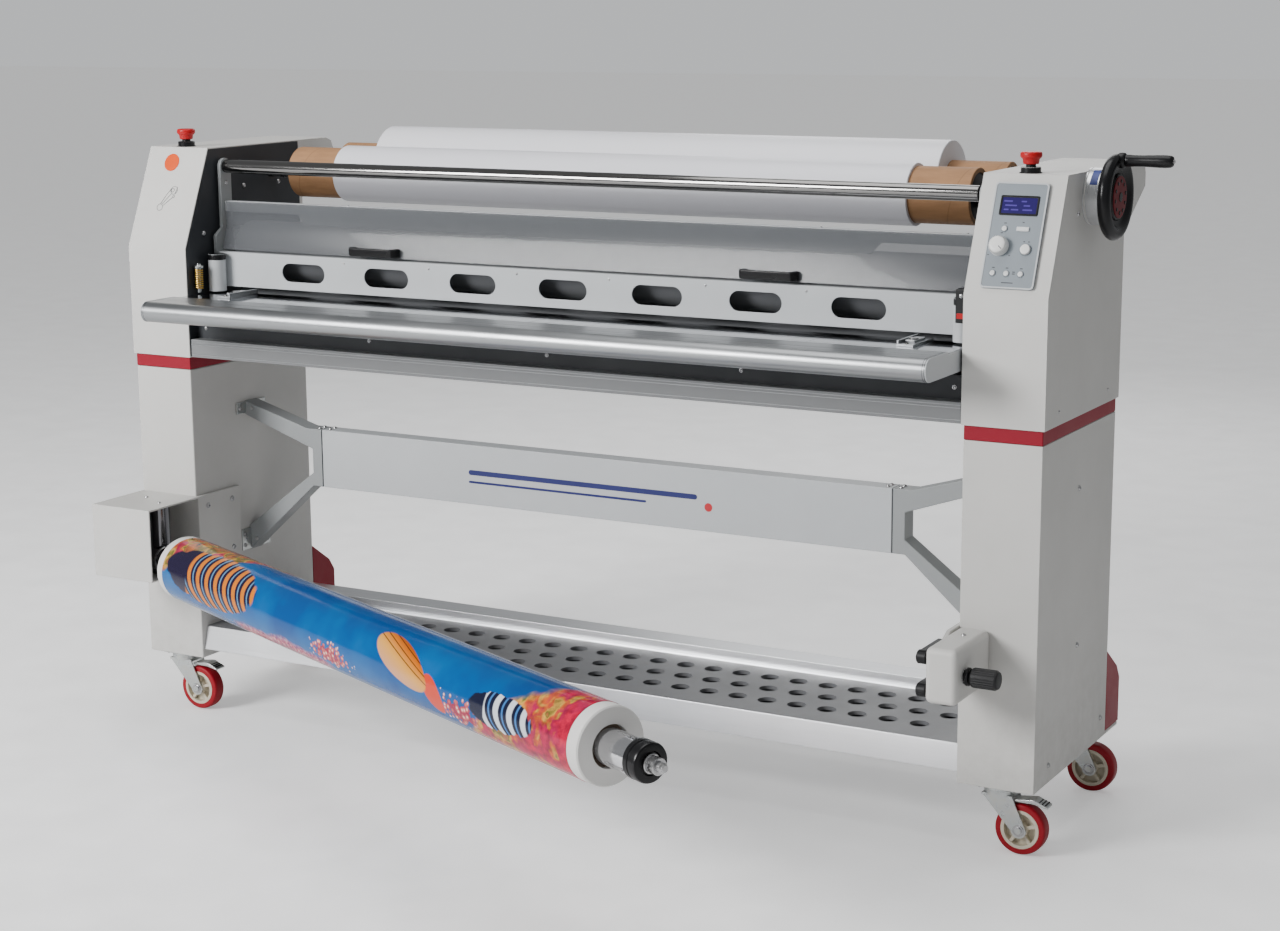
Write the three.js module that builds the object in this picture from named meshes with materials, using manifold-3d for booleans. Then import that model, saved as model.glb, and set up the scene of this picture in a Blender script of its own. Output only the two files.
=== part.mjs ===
// A free-standing cold roll laminator for wide vinyl and film, in millimetres, +Z up, +X to the operator's right.
// Two cabinets on casters carry a pair of nip rollers, two film supply rolls, a feed table with guards,
// a control panel, a handwheel that lifts the top roller, and a print roll on a mandrel that swings out.
// Inside this file Y = 0 is the front face of the legs and Z = 0 is the floor. The finished group is moved
// at the end so that its origin is the centre of the object's footprint, on the floor.
import * as THREE from "three";
import { mergeVertices } from "three/addons/utils/BufferGeometryUtils.js";
import Module from "manifold-3d";

const wasm = await Module();
wasm.setup();

// ---------------------------------------------------------------- driving dimensions
const GAP = 0.3; // left between fixed pieces that touch
const RUNNING = 0.5; // radial clearance round a turning shaft
const CUT = 1; // how far a cutting shape runs past a face

// Cabinets
const LEG_GAP = 1818; // between the inner faces of the two legs
const LEG_WIDTH = 153;
const LEG_DEPTH = 416;
const LEG_TOP = 788;
const LEG_WALL = 3;
const FOOT_PLATE = 4; // plate under each leg that the casters bolt to
const FOOT_REACH = 78; // how far the foot plate runs out behind the leg
const BAND_HEIGHT = 28;
const BAND_WALL = 14;
const HEAD_HEIGHT = 454;
const HEAD_LIP = 4; // the head covers stand proud of the legs by this much
const HEAD_WALL = 3;
const SLOPE_RISE = 240; // height above the head's base where the sloped front starts
const SLOPE_RUN = 90; // how far the sloped front leans back
const BULGE_RISE = 324; // height above the head's base where the rear starts to bulge
const BULGE_REACH = 125;
const BULGE_ROUND = 26;
const SIDE_PLATE = 4;
const SIDE_PLATE_REAR = 408;

// Nip rollers, heights above the base of the heads
const NIP_RISE = 159;
const NIP_ROOM = 11; // between the slotted guard and the rollers
const NIP_RADIUS = 65;
const NIP_OPEN = 0.6; // gap left between the closed rollers
const NIP_END = 38; // from a roller's end to the side of the head
const JOURNAL_RADIUS = 20;
const JOURNAL_REACH = 46; // how far the journals run into the heads
const LIFT_TRAVEL = 28;
const BLOCK_THICKNESS = 26;
const BLOCK_SIZE = 84;
const BLOCK_INSET = 8;

// Roller drive
const GEAR_MODULE = 3;
const GEAR_TEETH = 40;
const PINION_TEETH = 16;
const GEAR_WIDTH = 16;
const GEAR_INSET = 8;
const GEAR_ANGLE = 20; // degrees, from the roller's centre up to the pinion's
const MOTOR_RADIUS = 44;
const MOTOR_SHAFT = 8;

// Supply rolls, heights above the base of the heads
const FILM_LENGTH = 1370;
const CORE_LENGTH = 1626;
const FRONT_ROLL_Y = 305;
const FRONT_ROLL_RISE = 390;
const FRONT_FILM_RADIUS = 62;
const FRONT_CORE_RADIUS = 56;
const REAR_ROLL_Y = 484;
const REAR_ROLL_RISE = 402;
const REAR_FILM_RADIUS = 84;
const REAR_CORE_RADIUS = 44;
const ROLL_AXLE = 14;
const ROLL_AXLE_REACH = 34;

// Idler bar, cover bar, guards and feed table
const IDLER_Y = 125;
const IDLER_RISE = 412;
const IDLER_RADIUS = 15;
const IDLER_JOURNAL = 6;
const ARM_THICKNESS = 8;
const ARM_WIDTH = 36;
const ARM_OFFSET = 8; // from the side plate to the arm
const ARM_FOOT_RISE = 146;
const ARM_WIDE_TOP = 262;
const ARM_WIDE_FRONT = 84;
const POST_RADIUS = 19;
const POST_HEIGHT = 82;
const BAR_FRONT = 118;
const BAR_DEPTH = 18;
const BAR_RISE = 313;
const BAR_HEIGHT = 23;
const BAR_WALL = 3;
const LIP_DROP = 22; // the bar's middle part hangs down by this much
const LIP_HALF = 690;
const LIP_SLANT = 22;
const GUARD_FRONT = 89;
const GUARD_DEPTH = 17;
const GUARD_RISE = 151;
const GUARD_HEIGHT = 76;
const GUARD_WALL = 3;
const SLOT_COUNT = 7;
const SLOT_PITCH = 219;
const SLOT_LENGTH = 114;
const SLOT_HEIGHT = 40;
const SHEET = 4;
const SHEET_TOP_Y = 108;
const SHEET_BEND_RISE = 284;
const SHEET_FOOT_Y = 92;
const SHEET_GAP = 5; // between the clear sheet and the slotted guard below it
const HANDLE_X = 467;
const HANDLE_LENGTH = 125;
const HANDLE_HEIGHT = 20;
const HANDLE_REACH = 20;
const TABLE_RISE = 142;
const TABLE_FRONT = -165;
const TABLE_NOSE = 22;
const TABLE_LAND = 105; // the rounded front extrusion, front to back
const TABLE_STEP = 3;
const TABLE_REAR = 86;
const TABLE_BED = 16;
const TABLE_SKIRT = 14; // y where the deep front box of the table ends
const TABLE_END = 5;
const MEDIA_STOP_X = 796;
const STOP_WIDTH = 34;
const STOP_FRONT = -14;
const STOP_HEIGHT = 11;
const EYE_WIDTH = 24;
const EYE_DEPTH = 30;
const EYE_HEIGHT = 62;
const EYE_Y = 34;
const EYE_RISE = 184;

// Cross members
const CHANNEL_HEIGHT = 40;
const CHANNEL_ROOM = 27.7; // between the channel's floor and the bottom roller
const CHANNEL_WALL = 3;
const CHANNEL_DEPTH = 396;
const PANEL_SETBACK = 26;
const PANEL_ROOM = 11; // between the panel and the feed table above it
const CHANNEL_REAR_TOP = 70;
const BEAM_Y = 182;
const BEAM_DEPTH = 44;
const BEAM_TOP = 642;
const BEAM_HEIGHT = 131;
const BEAM_WALL = 3;
const BRACKET_REACH = 217; // from the leg's inner face to the end of the beam
const BRACKET_STRIP = 28;
const BRACKET_TOP = 692;
const BRACKET_UPPER = 32;
const BRACKET_LOW = 343;
const BRACKET_LOWER = 57;
const WINDOW_TOP = 596;
const WINDOW_LOW = 541;
const SHELF_Z = 200;
const DECK = 3;
const RAIL_FRONT = 6;
const RAIL_TOE = 15; // how far the front rail's face leans back
const RAIL_HEIGHT = 52;
const RAIL_WIDTH = 22;
const REAR_RAIL_Y = 330;
const REAR_RAIL_DEPTH = 66;
const REAR_RAIL_STEP = 18;
const HOLE_RADIUS = 17;
const HOLE_PITCH = 66;
const HOLE_ROWS = [98, 172, 246];
const REAR_COVER_DEPTH = 84;
const REAR_COVER_HEIGHT = 170;
const REAR_COVER_CHAMFER = 46;

// Controls
const CONTROL_WIDTH = 102;
const CONTROL_LENGTH = 200;
const CONTROL_START = 14; // up the slope from its lower edge
const CONTROL_PLATE = 5;
const DISPLAY_WIDTH = 74;
const DISPLAY_HEIGHT = 38;
const DISPLAY_DROP = 25; // from the panel's top edge
const DISPLAY_PROUD = 1;
const KEY_RADIUS = 5;
const KEY_PROUD = 3;
const KEY_FLOAT = 2; // from a key's back to the cover behind it
const KEY_ROOM = 0.6; // round a key in its hole
const SPEED_KNOB = { radius: 18, height: 17, across: 26, down: 122 };
const JOG_BUTTON = { radius: 9.5, across: 76, down: 126 };
const KEYS = {
  run_key: { across: 21, down: 172 },
  stop_key: { across: 47, down: 172 },
  mode_key: { across: 74, down: 172 },
  menu_key: { across: 30, down: 88 },
};
const ROCKER = { width: 24, height: 8, across: 65, down: 88 };
const ESTOP_Y = 112;
const ESTOP_RADIUS = 20;
const ESTOP_COLLAR = 18;
const ESTOP_COLLAR_HEIGHT = 11;
const ESTOP_STEM = 9;
const ESTOP_LIFT = 5; // under the mushroom head, above the collar
const ESTOP_HEAD = 23;

// Handwheel
const WHEEL_Y = 214;
const WHEEL_RISE = 407;
const HUB_RADIUS = 52;
const HUB_LENGTH = 34;
const WHEEL_RADIUS = 80;
const WHEEL_THICKNESS = 24;
const WHEEL_SHAFT = 8;
const WHEEL_SHAFT_LENGTH = 90;
const CRANK_RADIUS = 67;
const GRIP_RADIUS = 12;
const GRIP_LENGTH = 96;
const GRIP_PIN = 4;

// Swing-out mandrel and its print roll
const MANDREL_Z = 380;
const PIVOT_INSET = 26; // outwards from the leg's inner face
const PIVOT_Y = -94;
const SWING_ANGLE = 24; // degrees out of line with the rollers
const HOUSING_FRONT = -170;
const HOUSING_BASE = 342;
const HOUSING_HEIGHT = 161;
const HOUSING_WALL = 4;
const FLANGE = 10;
const FLANGE_REAR = 142;
const BARREL_RADIUS = 22;
const ARM_RADIUS = 32;
const ARM_END = 116;
const TUBE_RADIUS = 32;
const ROLL_START = 122;
const ROLL_END_ROOM = 147; // from the print roll's end to the mandrel's tip
const PRINT_RADIUS = 70;
const CAP_RADIUS = 35;
const CAP_LENGTH = 34;
const TIP_RADIUS = 15;
const TIP_LENGTH = 37;
const TIP_ROOM = 7; // between the tip and the inner face of the right leg
const RECEIVER_WIDTH = 62;
const RECEIVER_BASE = 330;
const RECEIVER_HEIGHT = 106;
const RECEIVER_FLANGE_REAR = 96;
const JAW_THICKNESS = 22;
const JAW_OUTER = 42;
const JAW_REACH = 66;
const JAW_ROOM = 3;
const KNOB_Y = -130;
const KNOB_RADIUS = 19;
const KNOB_LENGTH = 62;
const KNOB_STEM = 8;
const KNOB_STAND = 5;

// Casters
const CASTER_FRONT_Y = 32;
const CASTER_REAR_Y = 440;
const CASTER_TRAIL = 45;
const CASTER_WHEEL = 50;
const CASTER_ROOM = 32; // from the top of the wheels to the foot of the legs
const CASTER_TREAD = 32;
const CASTER_HUB = 36;
const CASTER_AXLE = 6;
const FORK_SHEET = 3;
const FORK_ROOM = 3; // between wheel and fork on each side
const FORK_RACE = 30;
const FORK_RACE_HEIGHT = 13;
const FORK_BRIDGE = 5;
const PEDAL_LENGTH = 66;
const PEDAL_WIDTH = 30;
const PEDAL_SHEET = 4;
const PEDAL_RISE = 3.5; // above the wheel

// ---------------------------------------------------------------- places that follow from them
const INNER = LEG_GAP / 2;
const OUTER = INNER + LEG_WIDTH;
const CABINET_X = (INNER + OUTER) / 2;
const HEAD_BASE = LEG_TOP + BAND_HEIGHT;
const HEAD_TOP = HEAD_BASE + HEAD_HEIGHT;
const HEAD_INNER = INNER - HEAD_LIP;
const HEAD_OUTER = OUTER + HEAD_LIP;
const LEG_BOTTOM = 2 * CASTER_WHEEL + CASTER_ROOM;
const NIP_Y = GUARD_FRONT + GUARD_DEPTH + NIP_ROOM + NIP_RADIUS;
const NIP_Z = HEAD_BASE + NIP_RISE;
const CHANNEL_Z = NIP_Z - NIP_OPEN / 2 - 2 * NIP_RADIUS - CHANNEL_ROOM;
const TABLE_Z = HEAD_BASE + TABLE_RISE;
const IDLER_Z = HEAD_BASE + IDLER_RISE;
const ARM_INNER = HEAD_INNER - ARM_OFFSET - ARM_THICKNESS;
const FRONT_ROLL_Z = HEAD_BASE + FRONT_ROLL_RISE;
const REAR_ROLL_Z = HEAD_BASE + REAR_ROLL_RISE;
const WHEEL_Z = HEAD_BASE + WHEEL_RISE;
const PIVOT_X = -(INNER + PIVOT_INSET);
const MANDREL_LENGTH = INNER - TIP_ROOM - PIVOT_X;
const ROLL_END = MANDREL_LENGTH - ROLL_END_ROOM;
const SLOPE_LENGTH = Math.hypot(SLOPE_RUN, HEAD_HEIGHT - SLOPE_RISE);
const SLOPE_TILT = Math.atan2(SLOPE_RUN, HEAD_HEIGHT - SLOPE_RISE);

// ---------------------------------------------------------------- materials
const paint = (color, roughness = 0.5, metalness = 0) =>
  new THREE.MeshStandardMaterial({ color, roughness, metalness });
const MATERIALS = {
  body: paint(0xd4d3cd, 0.55),
  red: paint(0xa31a2b, 0.45),
  dark: paint(0x24282c, 0.6, 0.3),
  grey: paint(0x9ba09f, 0.45, 0.3),
  guard: paint(0xc9cdcf, 0.4, 0.3),
  aluminium: paint(0xc7c9ca, 0.3, 0.9),
  chrome: paint(0xe4e5e6, 0.1, 1),
  zinc: paint(0xa9adad, 0.35, 0.9),
  rubber: paint(0x6a6c6f, 0.7),
  black: paint(0x17181a, 0.4),
  film: paint(0xeeeef2, 0.3),
  print: paint(0x0a5aa6, 0.2),
  clear: paint(0x8f979c, 0.1),
  deck: paint(0x5c5e61, 0.5, 0.5),
  estop: paint(0xd0161f, 0.35),
  key: paint(0xe2e4e3, 0.35),
  panel: paint(0x9aa6ae, 0.5),
};

// ---------------------------------------------------------------- solids
// A closed three.js geometry as a manifold solid, with its faces turned to point outwards.
function toSolid(geometry) {
  const bare = geometry.clone();
  bare.deleteAttribute("normal");
  bare.deleteAttribute("uv");
  const merged = mergeVertices(bare, 1e-4);
  const triVerts = new Uint32Array(merged.index.array);
  const vertProperties = merged.attributes.position.array;
  const solid = new wasm.Manifold(new wasm.Mesh({ numProp: 3, vertProperties, triVerts }));
  if (solid.volume() > 0) return solid;
  for (let i = 0; i < triVerts.length; i += 3) triVerts.subarray(i + 1, i + 3).reverse();
  return new wasm.Manifold(new wasm.Mesh({ numProp: 3, vertProperties, triVerts }));
}

function join(first, ...others) {
  return others.reduce((sum, solid) => sum.add(solid), first);
}

function cut(body, ...tools) {
  return tools.reduce((rest, tool) => rest.subtract(tool), body);
}

// A block between two corners.
function block(x0, x1, y0, y1, z0, z1) {
  const geometry = new THREE.BoxGeometry(x1 - x0, y1 - y0, z1 - z0);
  geometry.translate((x0 + x1) / 2, (y0 + y1) / 2, (z0 + z1) / 2);
  return toSolid(geometry);
}

function shapeOf(outline) {
  return outline instanceof THREE.Shape
    ? outline
    : new THREE.Shape(outline.map(([u, v]) => new THREE.Vector2(u, v)));
}

function extrude(outline, length, curveSegments = 6) {
  return new THREE.ExtrudeGeometry(shapeOf(outline), {
    depth: length,
    bevelEnabled: false,
    curveSegments,
    steps: 1,
  });
}

const X_AXIS = new THREE.Vector3(1, 0, 0);
const Y_AXIS = new THREE.Vector3(0, 1, 0);
const Z_AXIS = new THREE.Vector3(0, 0, 1);

// A (y, z) outline extruded along X, an (x, z) outline along Y, and an (x, y) outline along Z.
function alongX(outline, x0, x1) {
  const turn = new THREE.Matrix4().makeBasis(Y_AXIS, Z_AXIS, X_AXIS).setPosition(x0, 0, 0);
  return toSolid(extrude(outline, x1 - x0).applyMatrix4(turn));
}

function alongY(outline, y0, y1) {
  const back = Y_AXIS.clone().negate();
  const turn = new THREE.Matrix4().makeBasis(X_AXIS, Z_AXIS, back).setPosition(0, y1, 0);
  return toSolid(extrude(outline, y1 - y0).applyMatrix4(turn));
}

// A solid of revolution from [radius, height] points that start and end on the axis.
function turned(profile, segments = 24) {
  return new THREE.LatheGeometry(profile.map(([r, h]) => new THREE.Vector2(r, h)), segments);
}

// The profile's heights run along X, Y (towards the back) or Z, through the given point.
function turnedX(profile, y, z, segments) {
  return toSolid(turned(profile, segments).rotateZ(-Math.PI / 2).translate(0, y, z));
}

function turnedZ(profile, x, y, segments) {
  return toSolid(turned(profile, segments).rotateX(Math.PI / 2).translate(x, y, 0));
}

function rod(radius, from, to) {
  return [
    [0, from],
    [radius, from],
    [radius, to],
    [0, to],
  ];
}

function rodX(radius, x0, x1, y, z, segments = 20) {
  return turnedX(rod(radius, x0, x1), y, z, segments);
}

function rodY(radius, y0, y1, x, z, segments = 20) {
  return toSolid(turned(rod(radius, y0, y1), segments).translate(x, 0, z));
}

function rodZ(radius, z0, z1, x, y, segments = 20) {
  return turnedZ(rod(radius, z0, z1), x, y, segments);
}

// A rectangle outline centred on (u, v) whose two ends along u are half rounds.
function stadium(u, v, length, height) {
  const r = height / 2;
  const half = length / 2 - r;
  const shape = new THREE.Shape();
  shape.moveTo(u - half, v - r);
  shape.lineTo(u + half, v - r);
  shape.absarc(u + half, v, r, -Math.PI / 2, Math.PI / 2);
  shape.lineTo(u - half, v + r);
  shape.absarc(u - half, v, r, Math.PI / 2, Math.PI * 1.5);
  return shape;
}

// Every edge of an anticlockwise outline moved inwards by the same distance.
function inset(outline, distance) {
  const lines = outline.map(([u, v], i) => {
    const [nu, nv] = outline[(i + 1) % outline.length];
    const length = Math.hypot(nu - u, nv - v);
    const a = -(nv - v) / length;
    const b = (nu - u) / length;
    return [a, b, a * u + b * v + distance];
  });
  return lines.map(([a, b, c], i) => {
    const [pa, pb, pc] = lines.at(i - 1);
    const det = pa * b - a * pb;
    return [(pc * b - c * pb) / det, (pa * c - a * pc) / det];
  });
}

function mirrorX(solid) {
  return solid.mirror([1, 0, 0]);
}

const laminator = new THREE.Group();

// A named mesh of one solid, in a parent group.
function addMesh(name, solid, material, parent = laminator) {
  const { vertProperties, triVerts } = solid.getMesh();
  const geometry = new THREE.BufferGeometry()
    .setAttribute("position", new THREE.BufferAttribute(vertProperties.slice(), 3))
    .setIndex(new THREE.BufferAttribute(triVerts.slice(), 1));
  geometry.computeVertexNormals();
  const mesh = new THREE.Mesh(geometry, material);
  mesh.name = name;
  parent.add(mesh);
}

// The right-hand solid under NAME_right and its mirror image under NAME_left.
function addPair(name, solid, material) {
  addMesh(name + "_right", solid, material);
  addMesh(name + "_left", mirrorX(solid), material);
}

// ---------------------------------------------------------------- cabinets
function leg() {
  const shell = block(INNER, OUTER, 0, LEG_DEPTH, LEG_BOTTOM, LEG_TOP);
  const hollow = block(
    INNER + LEG_WALL,
    OUTER - LEG_WALL,
    LEG_WALL,
    LEG_DEPTH - LEG_WALL,
    LEG_BOTTOM + LEG_WALL,
    LEG_TOP + CUT,
  );
  const floor = LEG_BOTTOM - FOOT_PLATE;
  const foot = block(INNER, OUTER, 0, LEG_DEPTH + FOOT_REACH, floor, LEG_BOTTOM + LEG_WALL);
  return join(cut(shell, hollow), foot);
}

function band() {
  const base = LEG_TOP + GAP;
  const top = HEAD_BASE - GAP;
  const ring = block(INNER, OUTER, 0, LEG_DEPTH, base, top);
  const hollow = block(
    INNER + BAND_WALL,
    OUTER - BAND_WALL,
    BAND_WALL,
    LEG_DEPTH - BAND_WALL,
    base - CUT,
    top + CUT,
  );
  return cut(ring, hollow);
}

// The side view of a head cover: sloped front, flat top, and a bulge at the rear round the supply roll.
function headOutline() {
  const front = -HEAD_LIP;
  const rear = LEG_DEPTH + HEAD_LIP;
  const bulge = rear + BULGE_REACH;
  return [
    [front, HEAD_BASE],
    [rear, HEAD_BASE],
    [rear, HEAD_BASE + BULGE_RISE],
    [bulge, HEAD_TOP - 2 * BULGE_ROUND],
    [bulge, HEAD_TOP - BULGE_ROUND],
    [bulge - BULGE_ROUND * 0.3, HEAD_TOP - BULGE_ROUND * 0.3],
    [bulge - BULGE_ROUND, HEAD_TOP],
    [front + SLOPE_RUN, HEAD_TOP],
    [front, HEAD_BASE + SLOPE_RISE],
  ];
}

// The flat front part of the head's inner side, which the side plate fills.
function sidePlateOutline(margin) {
  const [frontLow, , , , , , , topFront, slopeStart] = inset(headOutline(), HEAD_WALL + margin);
  const rear = SIDE_PLATE_REAR - margin;
  return [
    frontLow,
    [rear, frontLow[1]],
    [rear, topFront[1]],
    topFront,
    slopeStart,
  ];
}

function headCover() {
  const outer = alongX(headOutline(), HEAD_INNER, HEAD_OUTER);
  const hollow = alongX(
    inset(headOutline(), HEAD_WALL),
    HEAD_INNER + HEAD_WALL,
    HEAD_OUTER - HEAD_WALL,
  );
  const opening = alongX(sidePlateOutline(0), HEAD_INNER - CUT, HEAD_INNER + HEAD_WALL + CUT);
  const axleHole = rodX(
    ROLL_AXLE + RUNNING,
    HEAD_INNER - CUT,
    HEAD_INNER + HEAD_WALL + CUT,
    REAR_ROLL_Y,
    REAR_ROLL_Z,
  );
  const collarTop = HEAD_TOP + ESTOP_COLLAR_HEIGHT;
  const collar = rodZ(ESTOP_COLLAR, HEAD_TOP - HEAD_WALL, collarTop, CABINET_X, ESTOP_Y);
  const stemHole = rodZ(
    ESTOP_STEM + RUNNING,
    HEAD_TOP - HEAD_WALL - CUT,
    collarTop + CUT,
    CABINET_X,
    ESTOP_Y,
  );
  return cut(join(cut(outer, hollow, opening, axleHole), collar), stemHole);
}

// The right head cover also carries the turned hub that the handwheel runs against.
function headCoverWithHub() {
  const face = HEAD_OUTER;
  const hub = turnedX(
    [
      [0, face - CUT],
      [HUB_RADIUS, face - CUT],
      [HUB_RADIUS, face + HUB_LENGTH * 0.7],
      [HUB_RADIUS - 4, face + HUB_LENGTH],
      [0, face + HUB_LENGTH],
    ],
    WHEEL_Y,
    WHEEL_Z,
    32,
  );
  const bore = rodX(
    WHEEL_SHAFT + RUNNING,
    face - 2 * HEAD_WALL,
    face + HUB_LENGTH + CUT,
    WHEEL_Y,
    WHEEL_Z,
  );
  return cut(join(headCover(), hub), bore);
}

function sidePlate() {
  const x0 = HEAD_INNER - 1;
  const x1 = x0 + SIDE_PLATE;
  const plate = alongX(sidePlateOutline(GAP), x0, x1);
  const through = [x0 - CUT, x1 + CUT];
  const hole = (radius, y, z) => rodX(radius, ...through, y, z);
  const journal = JOURNAL_RADIUS + 3;
  const lift = block(
    ...through,
    NIP_Y - journal,
    NIP_Y + journal,
    NIP_Z + NIP_RADIUS - journal,
    NIP_Z + NIP_RADIUS + LIFT_TRAVEL + journal,
  );
  return cut(
    plate,
    hole(journal, NIP_Y, NIP_Z - NIP_RADIUS),
    lift,
    hole(ROLL_AXLE + RUNNING, FRONT_ROLL_Y, FRONT_ROLL_Z),
  );
}

// The right side plate carries the light sensor that watches the feed opening.
function sidePlateWithEye() {
  const x1 = HEAD_INNER;
  const z0 = HEAD_BASE + EYE_RISE;
  const eye = block(
    x1 - EYE_WIDTH,
    x1,
    EYE_Y - EYE_DEPTH / 2,
    EYE_Y + EYE_DEPTH / 2,
    z0,
    z0 + EYE_HEIGHT,
  );
  return join(sidePlate(), eye);
}

function rearFootCover() {
  const y0 = LEG_DEPTH + GAP;
  const y1 = LEG_DEPTH + REAR_COVER_DEPTH;
  const z0 = LEG_BOTTOM + LEG_WALL + GAP;
  const z1 = LEG_BOTTOM + REAR_COVER_HEIGHT;
  const outline = [
    [y0, z0],
    [y1, z0],
    [y1, z1 - REAR_COVER_CHAMFER * 1.6],
    [y1 - REAR_COVER_CHAMFER * 0.4, z1 - REAR_COVER_CHAMFER],
    [y0, z1],
  ];
  const shell = alongX(outline, INNER, OUTER);
  const hollow = alongX(inset(outline, LEG_WALL), INNER + LEG_WALL, OUTER - LEG_WALL);
  const open = block(
    INNER + LEG_WALL,
    OUTER - LEG_WALL,
    y0 - CUT,
    y0 + 2 * LEG_WALL,
    z0 + LEG_WALL,
    z1 - REAR_COVER_CHAMFER,
  );
  return cut(shell, hollow, open);
}

addPair("leg", leg(), MATERIALS.body);
addPair("band", band(), MATERIALS.red);
addMesh("head_cover_right", headCoverWithHub(), MATERIALS.body);
addMesh("head_cover_left", mirrorX(headCover()), MATERIALS.body);
addMesh("side_plate_right", sidePlateWithEye(), MATERIALS.dark);
addMesh("side_plate_left", mirrorX(sidePlate()), MATERIALS.dark);
addPair("rear_foot_cover", rearFootCover(), MATERIALS.red);

// ---------------------------------------------------------------- cross members
// One folded section: front face, floor, rear upright, and the set-back panel under the feed table.
function crossChannel() {
  const z0 = CHANNEL_Z;
  const t = CHANNEL_WALL;
  const panelTop = TABLE_Z - 2 * TABLE_NOSE - PANEL_ROOM;
  const step = z0 + CHANNEL_HEIGHT;
  const outline = [
    [0, z0],
    [CHANNEL_DEPTH, z0],
    [CHANNEL_DEPTH, z0 + CHANNEL_REAR_TOP],
    [CHANNEL_DEPTH - t, z0 + CHANNEL_REAR_TOP],
    [CHANNEL_DEPTH - t, z0 + t],
    [t, z0 + t],
    [t, step - t],
    [PANEL_SETBACK + t, step - t],
    [PANEL_SETBACK + t, panelTop],
    [PANEL_SETBACK, panelTop],
    [PANEL_SETBACK, step],
    [0, step],
  ];
  const half = HEAD_INNER - 1 - GAP;
  return alongX(outline, -half, half);
}

const BEAM_HALF = INNER - BRACKET_REACH;

function stretcherBeam() {
  const half = BEAM_HALF - GAP;
  const [y0, y1] = [BEAM_Y, BEAM_Y + BEAM_DEPTH];
  const [z0, z1] = [BEAM_TOP - BEAM_HEIGHT, BEAM_TOP];
  const t = BEAM_WALL;
  const outer = block(-half, half, y0, y1, z0, z1);
  return cut(outer, block(-half - CUT, half + CUT, y0 + t, y1 - t, z0 + t, z1 - t));
}

// A forked bracket: a strip at the beam's end and two arms that spread to the leg.
function beamBracket() {
  const leg = INNER - GAP;
  const strip = BEAM_HALF + BRACKET_STRIP;
  const outline = [
    [BEAM_HALF, BEAM_TOP - BEAM_HEIGHT],
    [strip, BEAM_TOP - BEAM_HEIGHT],
    [leg, BRACKET_LOW],
    [leg, BRACKET_LOW + BRACKET_LOWER],
    [strip, WINDOW_LOW],
    [strip, WINDOW_TOP],
    [leg, BRACKET_TOP - BRACKET_UPPER],
    [leg, BRACKET_TOP],
    [strip + BRACKET_STRIP / 2, BEAM_TOP],
    [BEAM_HALF, BEAM_TOP],
  ];
  return alongY(outline, BEAM_Y, BEAM_Y + BEAM_DEPTH);
}

function shelfFrontRail() {
  const half = INNER - GAP;
  const outline = [
    [RAIL_FRONT, SHELF_Z - RAIL_HEIGHT],
    [RAIL_FRONT + RAIL_WIDTH, SHELF_Z - RAIL_HEIGHT],
    [RAIL_FRONT + RAIL_TOE + RAIL_WIDTH, SHELF_Z - DECK - GAP],
    [RAIL_FRONT + RAIL_TOE + GAP, SHELF_Z - DECK - GAP],
    [RAIL_FRONT + RAIL_TOE + GAP, SHELF_Z],
    [RAIL_FRONT + RAIL_TOE - 3, SHELF_Z],
  ];
  return alongX(outline, -half, half);
}

function shelfRearRail() {
  const half = INNER - GAP;
  const y1 = REAR_RAIL_Y + REAR_RAIL_DEPTH;
  const t = DECK;
  const top = SHELF_Z + REAR_RAIL_STEP;
  const outline = [
    [REAR_RAIL_Y - RAIL_WIDTH, SHELF_Z - DECK - GAP - t],
    [REAR_RAIL_Y + t, SHELF_Z - DECK - GAP - t],
    [REAR_RAIL_Y + t, top - t],
    [y1 - t, top - t],
    [y1 - t, SHELF_Z - RAIL_HEIGHT],
    [y1, SHELF_Z - RAIL_HEIGHT],
    [y1, top],
    [REAR_RAIL_Y, top],
    [REAR_RAIL_Y, SHELF_Z - DECK - GAP],
    [REAR_RAIL_Y - RAIL_WIDTH, SHELF_Z - DECK - GAP],
  ];
  return alongX(outline, -half, half);
}

// A flat deck with staggered rows of round holes.
function shelfDeck() {
  const half = INNER - GAP;
  const y0 = RAIL_FRONT + RAIL_TOE + 2 * GAP;
  const deck = new THREE.Shape([
    new THREE.Vector2(-half, y0),
    new THREE.Vector2(half, y0),
    new THREE.Vector2(half, REAR_RAIL_Y - GAP),
    new THREE.Vector2(-half, REAR_RAIL_Y - GAP),
  ]);
  const perRow = Math.floor((2 * half) / HOLE_PITCH) - 1;
  HOLE_ROWS.forEach((y, row) => {
    const shift = row % 2 ? 0 : HOLE_PITCH / 2;
    const count = row % 2 ? perRow : perRow - 1;
    for (let i = 0; i < count; i++) {
      const x = shift + (i - (perRow - 1) / 2) * HOLE_PITCH;
      deck.holes.push(new THREE.Path().absellipse(x, y, HOLE_RADIUS, HOLE_RADIUS, 0, 2 * Math.PI));
    }
  });
  return toSolid(extrude(deck, DECK, 4).translate(0, 0, SHELF_Z - DECK));
}

addMesh("cross_channel", crossChannel(), MATERIALS.grey);
addMesh("stretcher_beam", stretcherBeam(), MATERIALS.guard);
addPair("beam_bracket", beamBracket(), MATERIALS.grey);
addMesh("shelf_front_rail", shelfFrontRail(), MATERIALS.aluminium);
addMesh("shelf_rear_rail", shelfRearRail(), MATERIALS.aluminium);
addMesh("shelf_deck", shelfDeck(), MATERIALS.deck);

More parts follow.
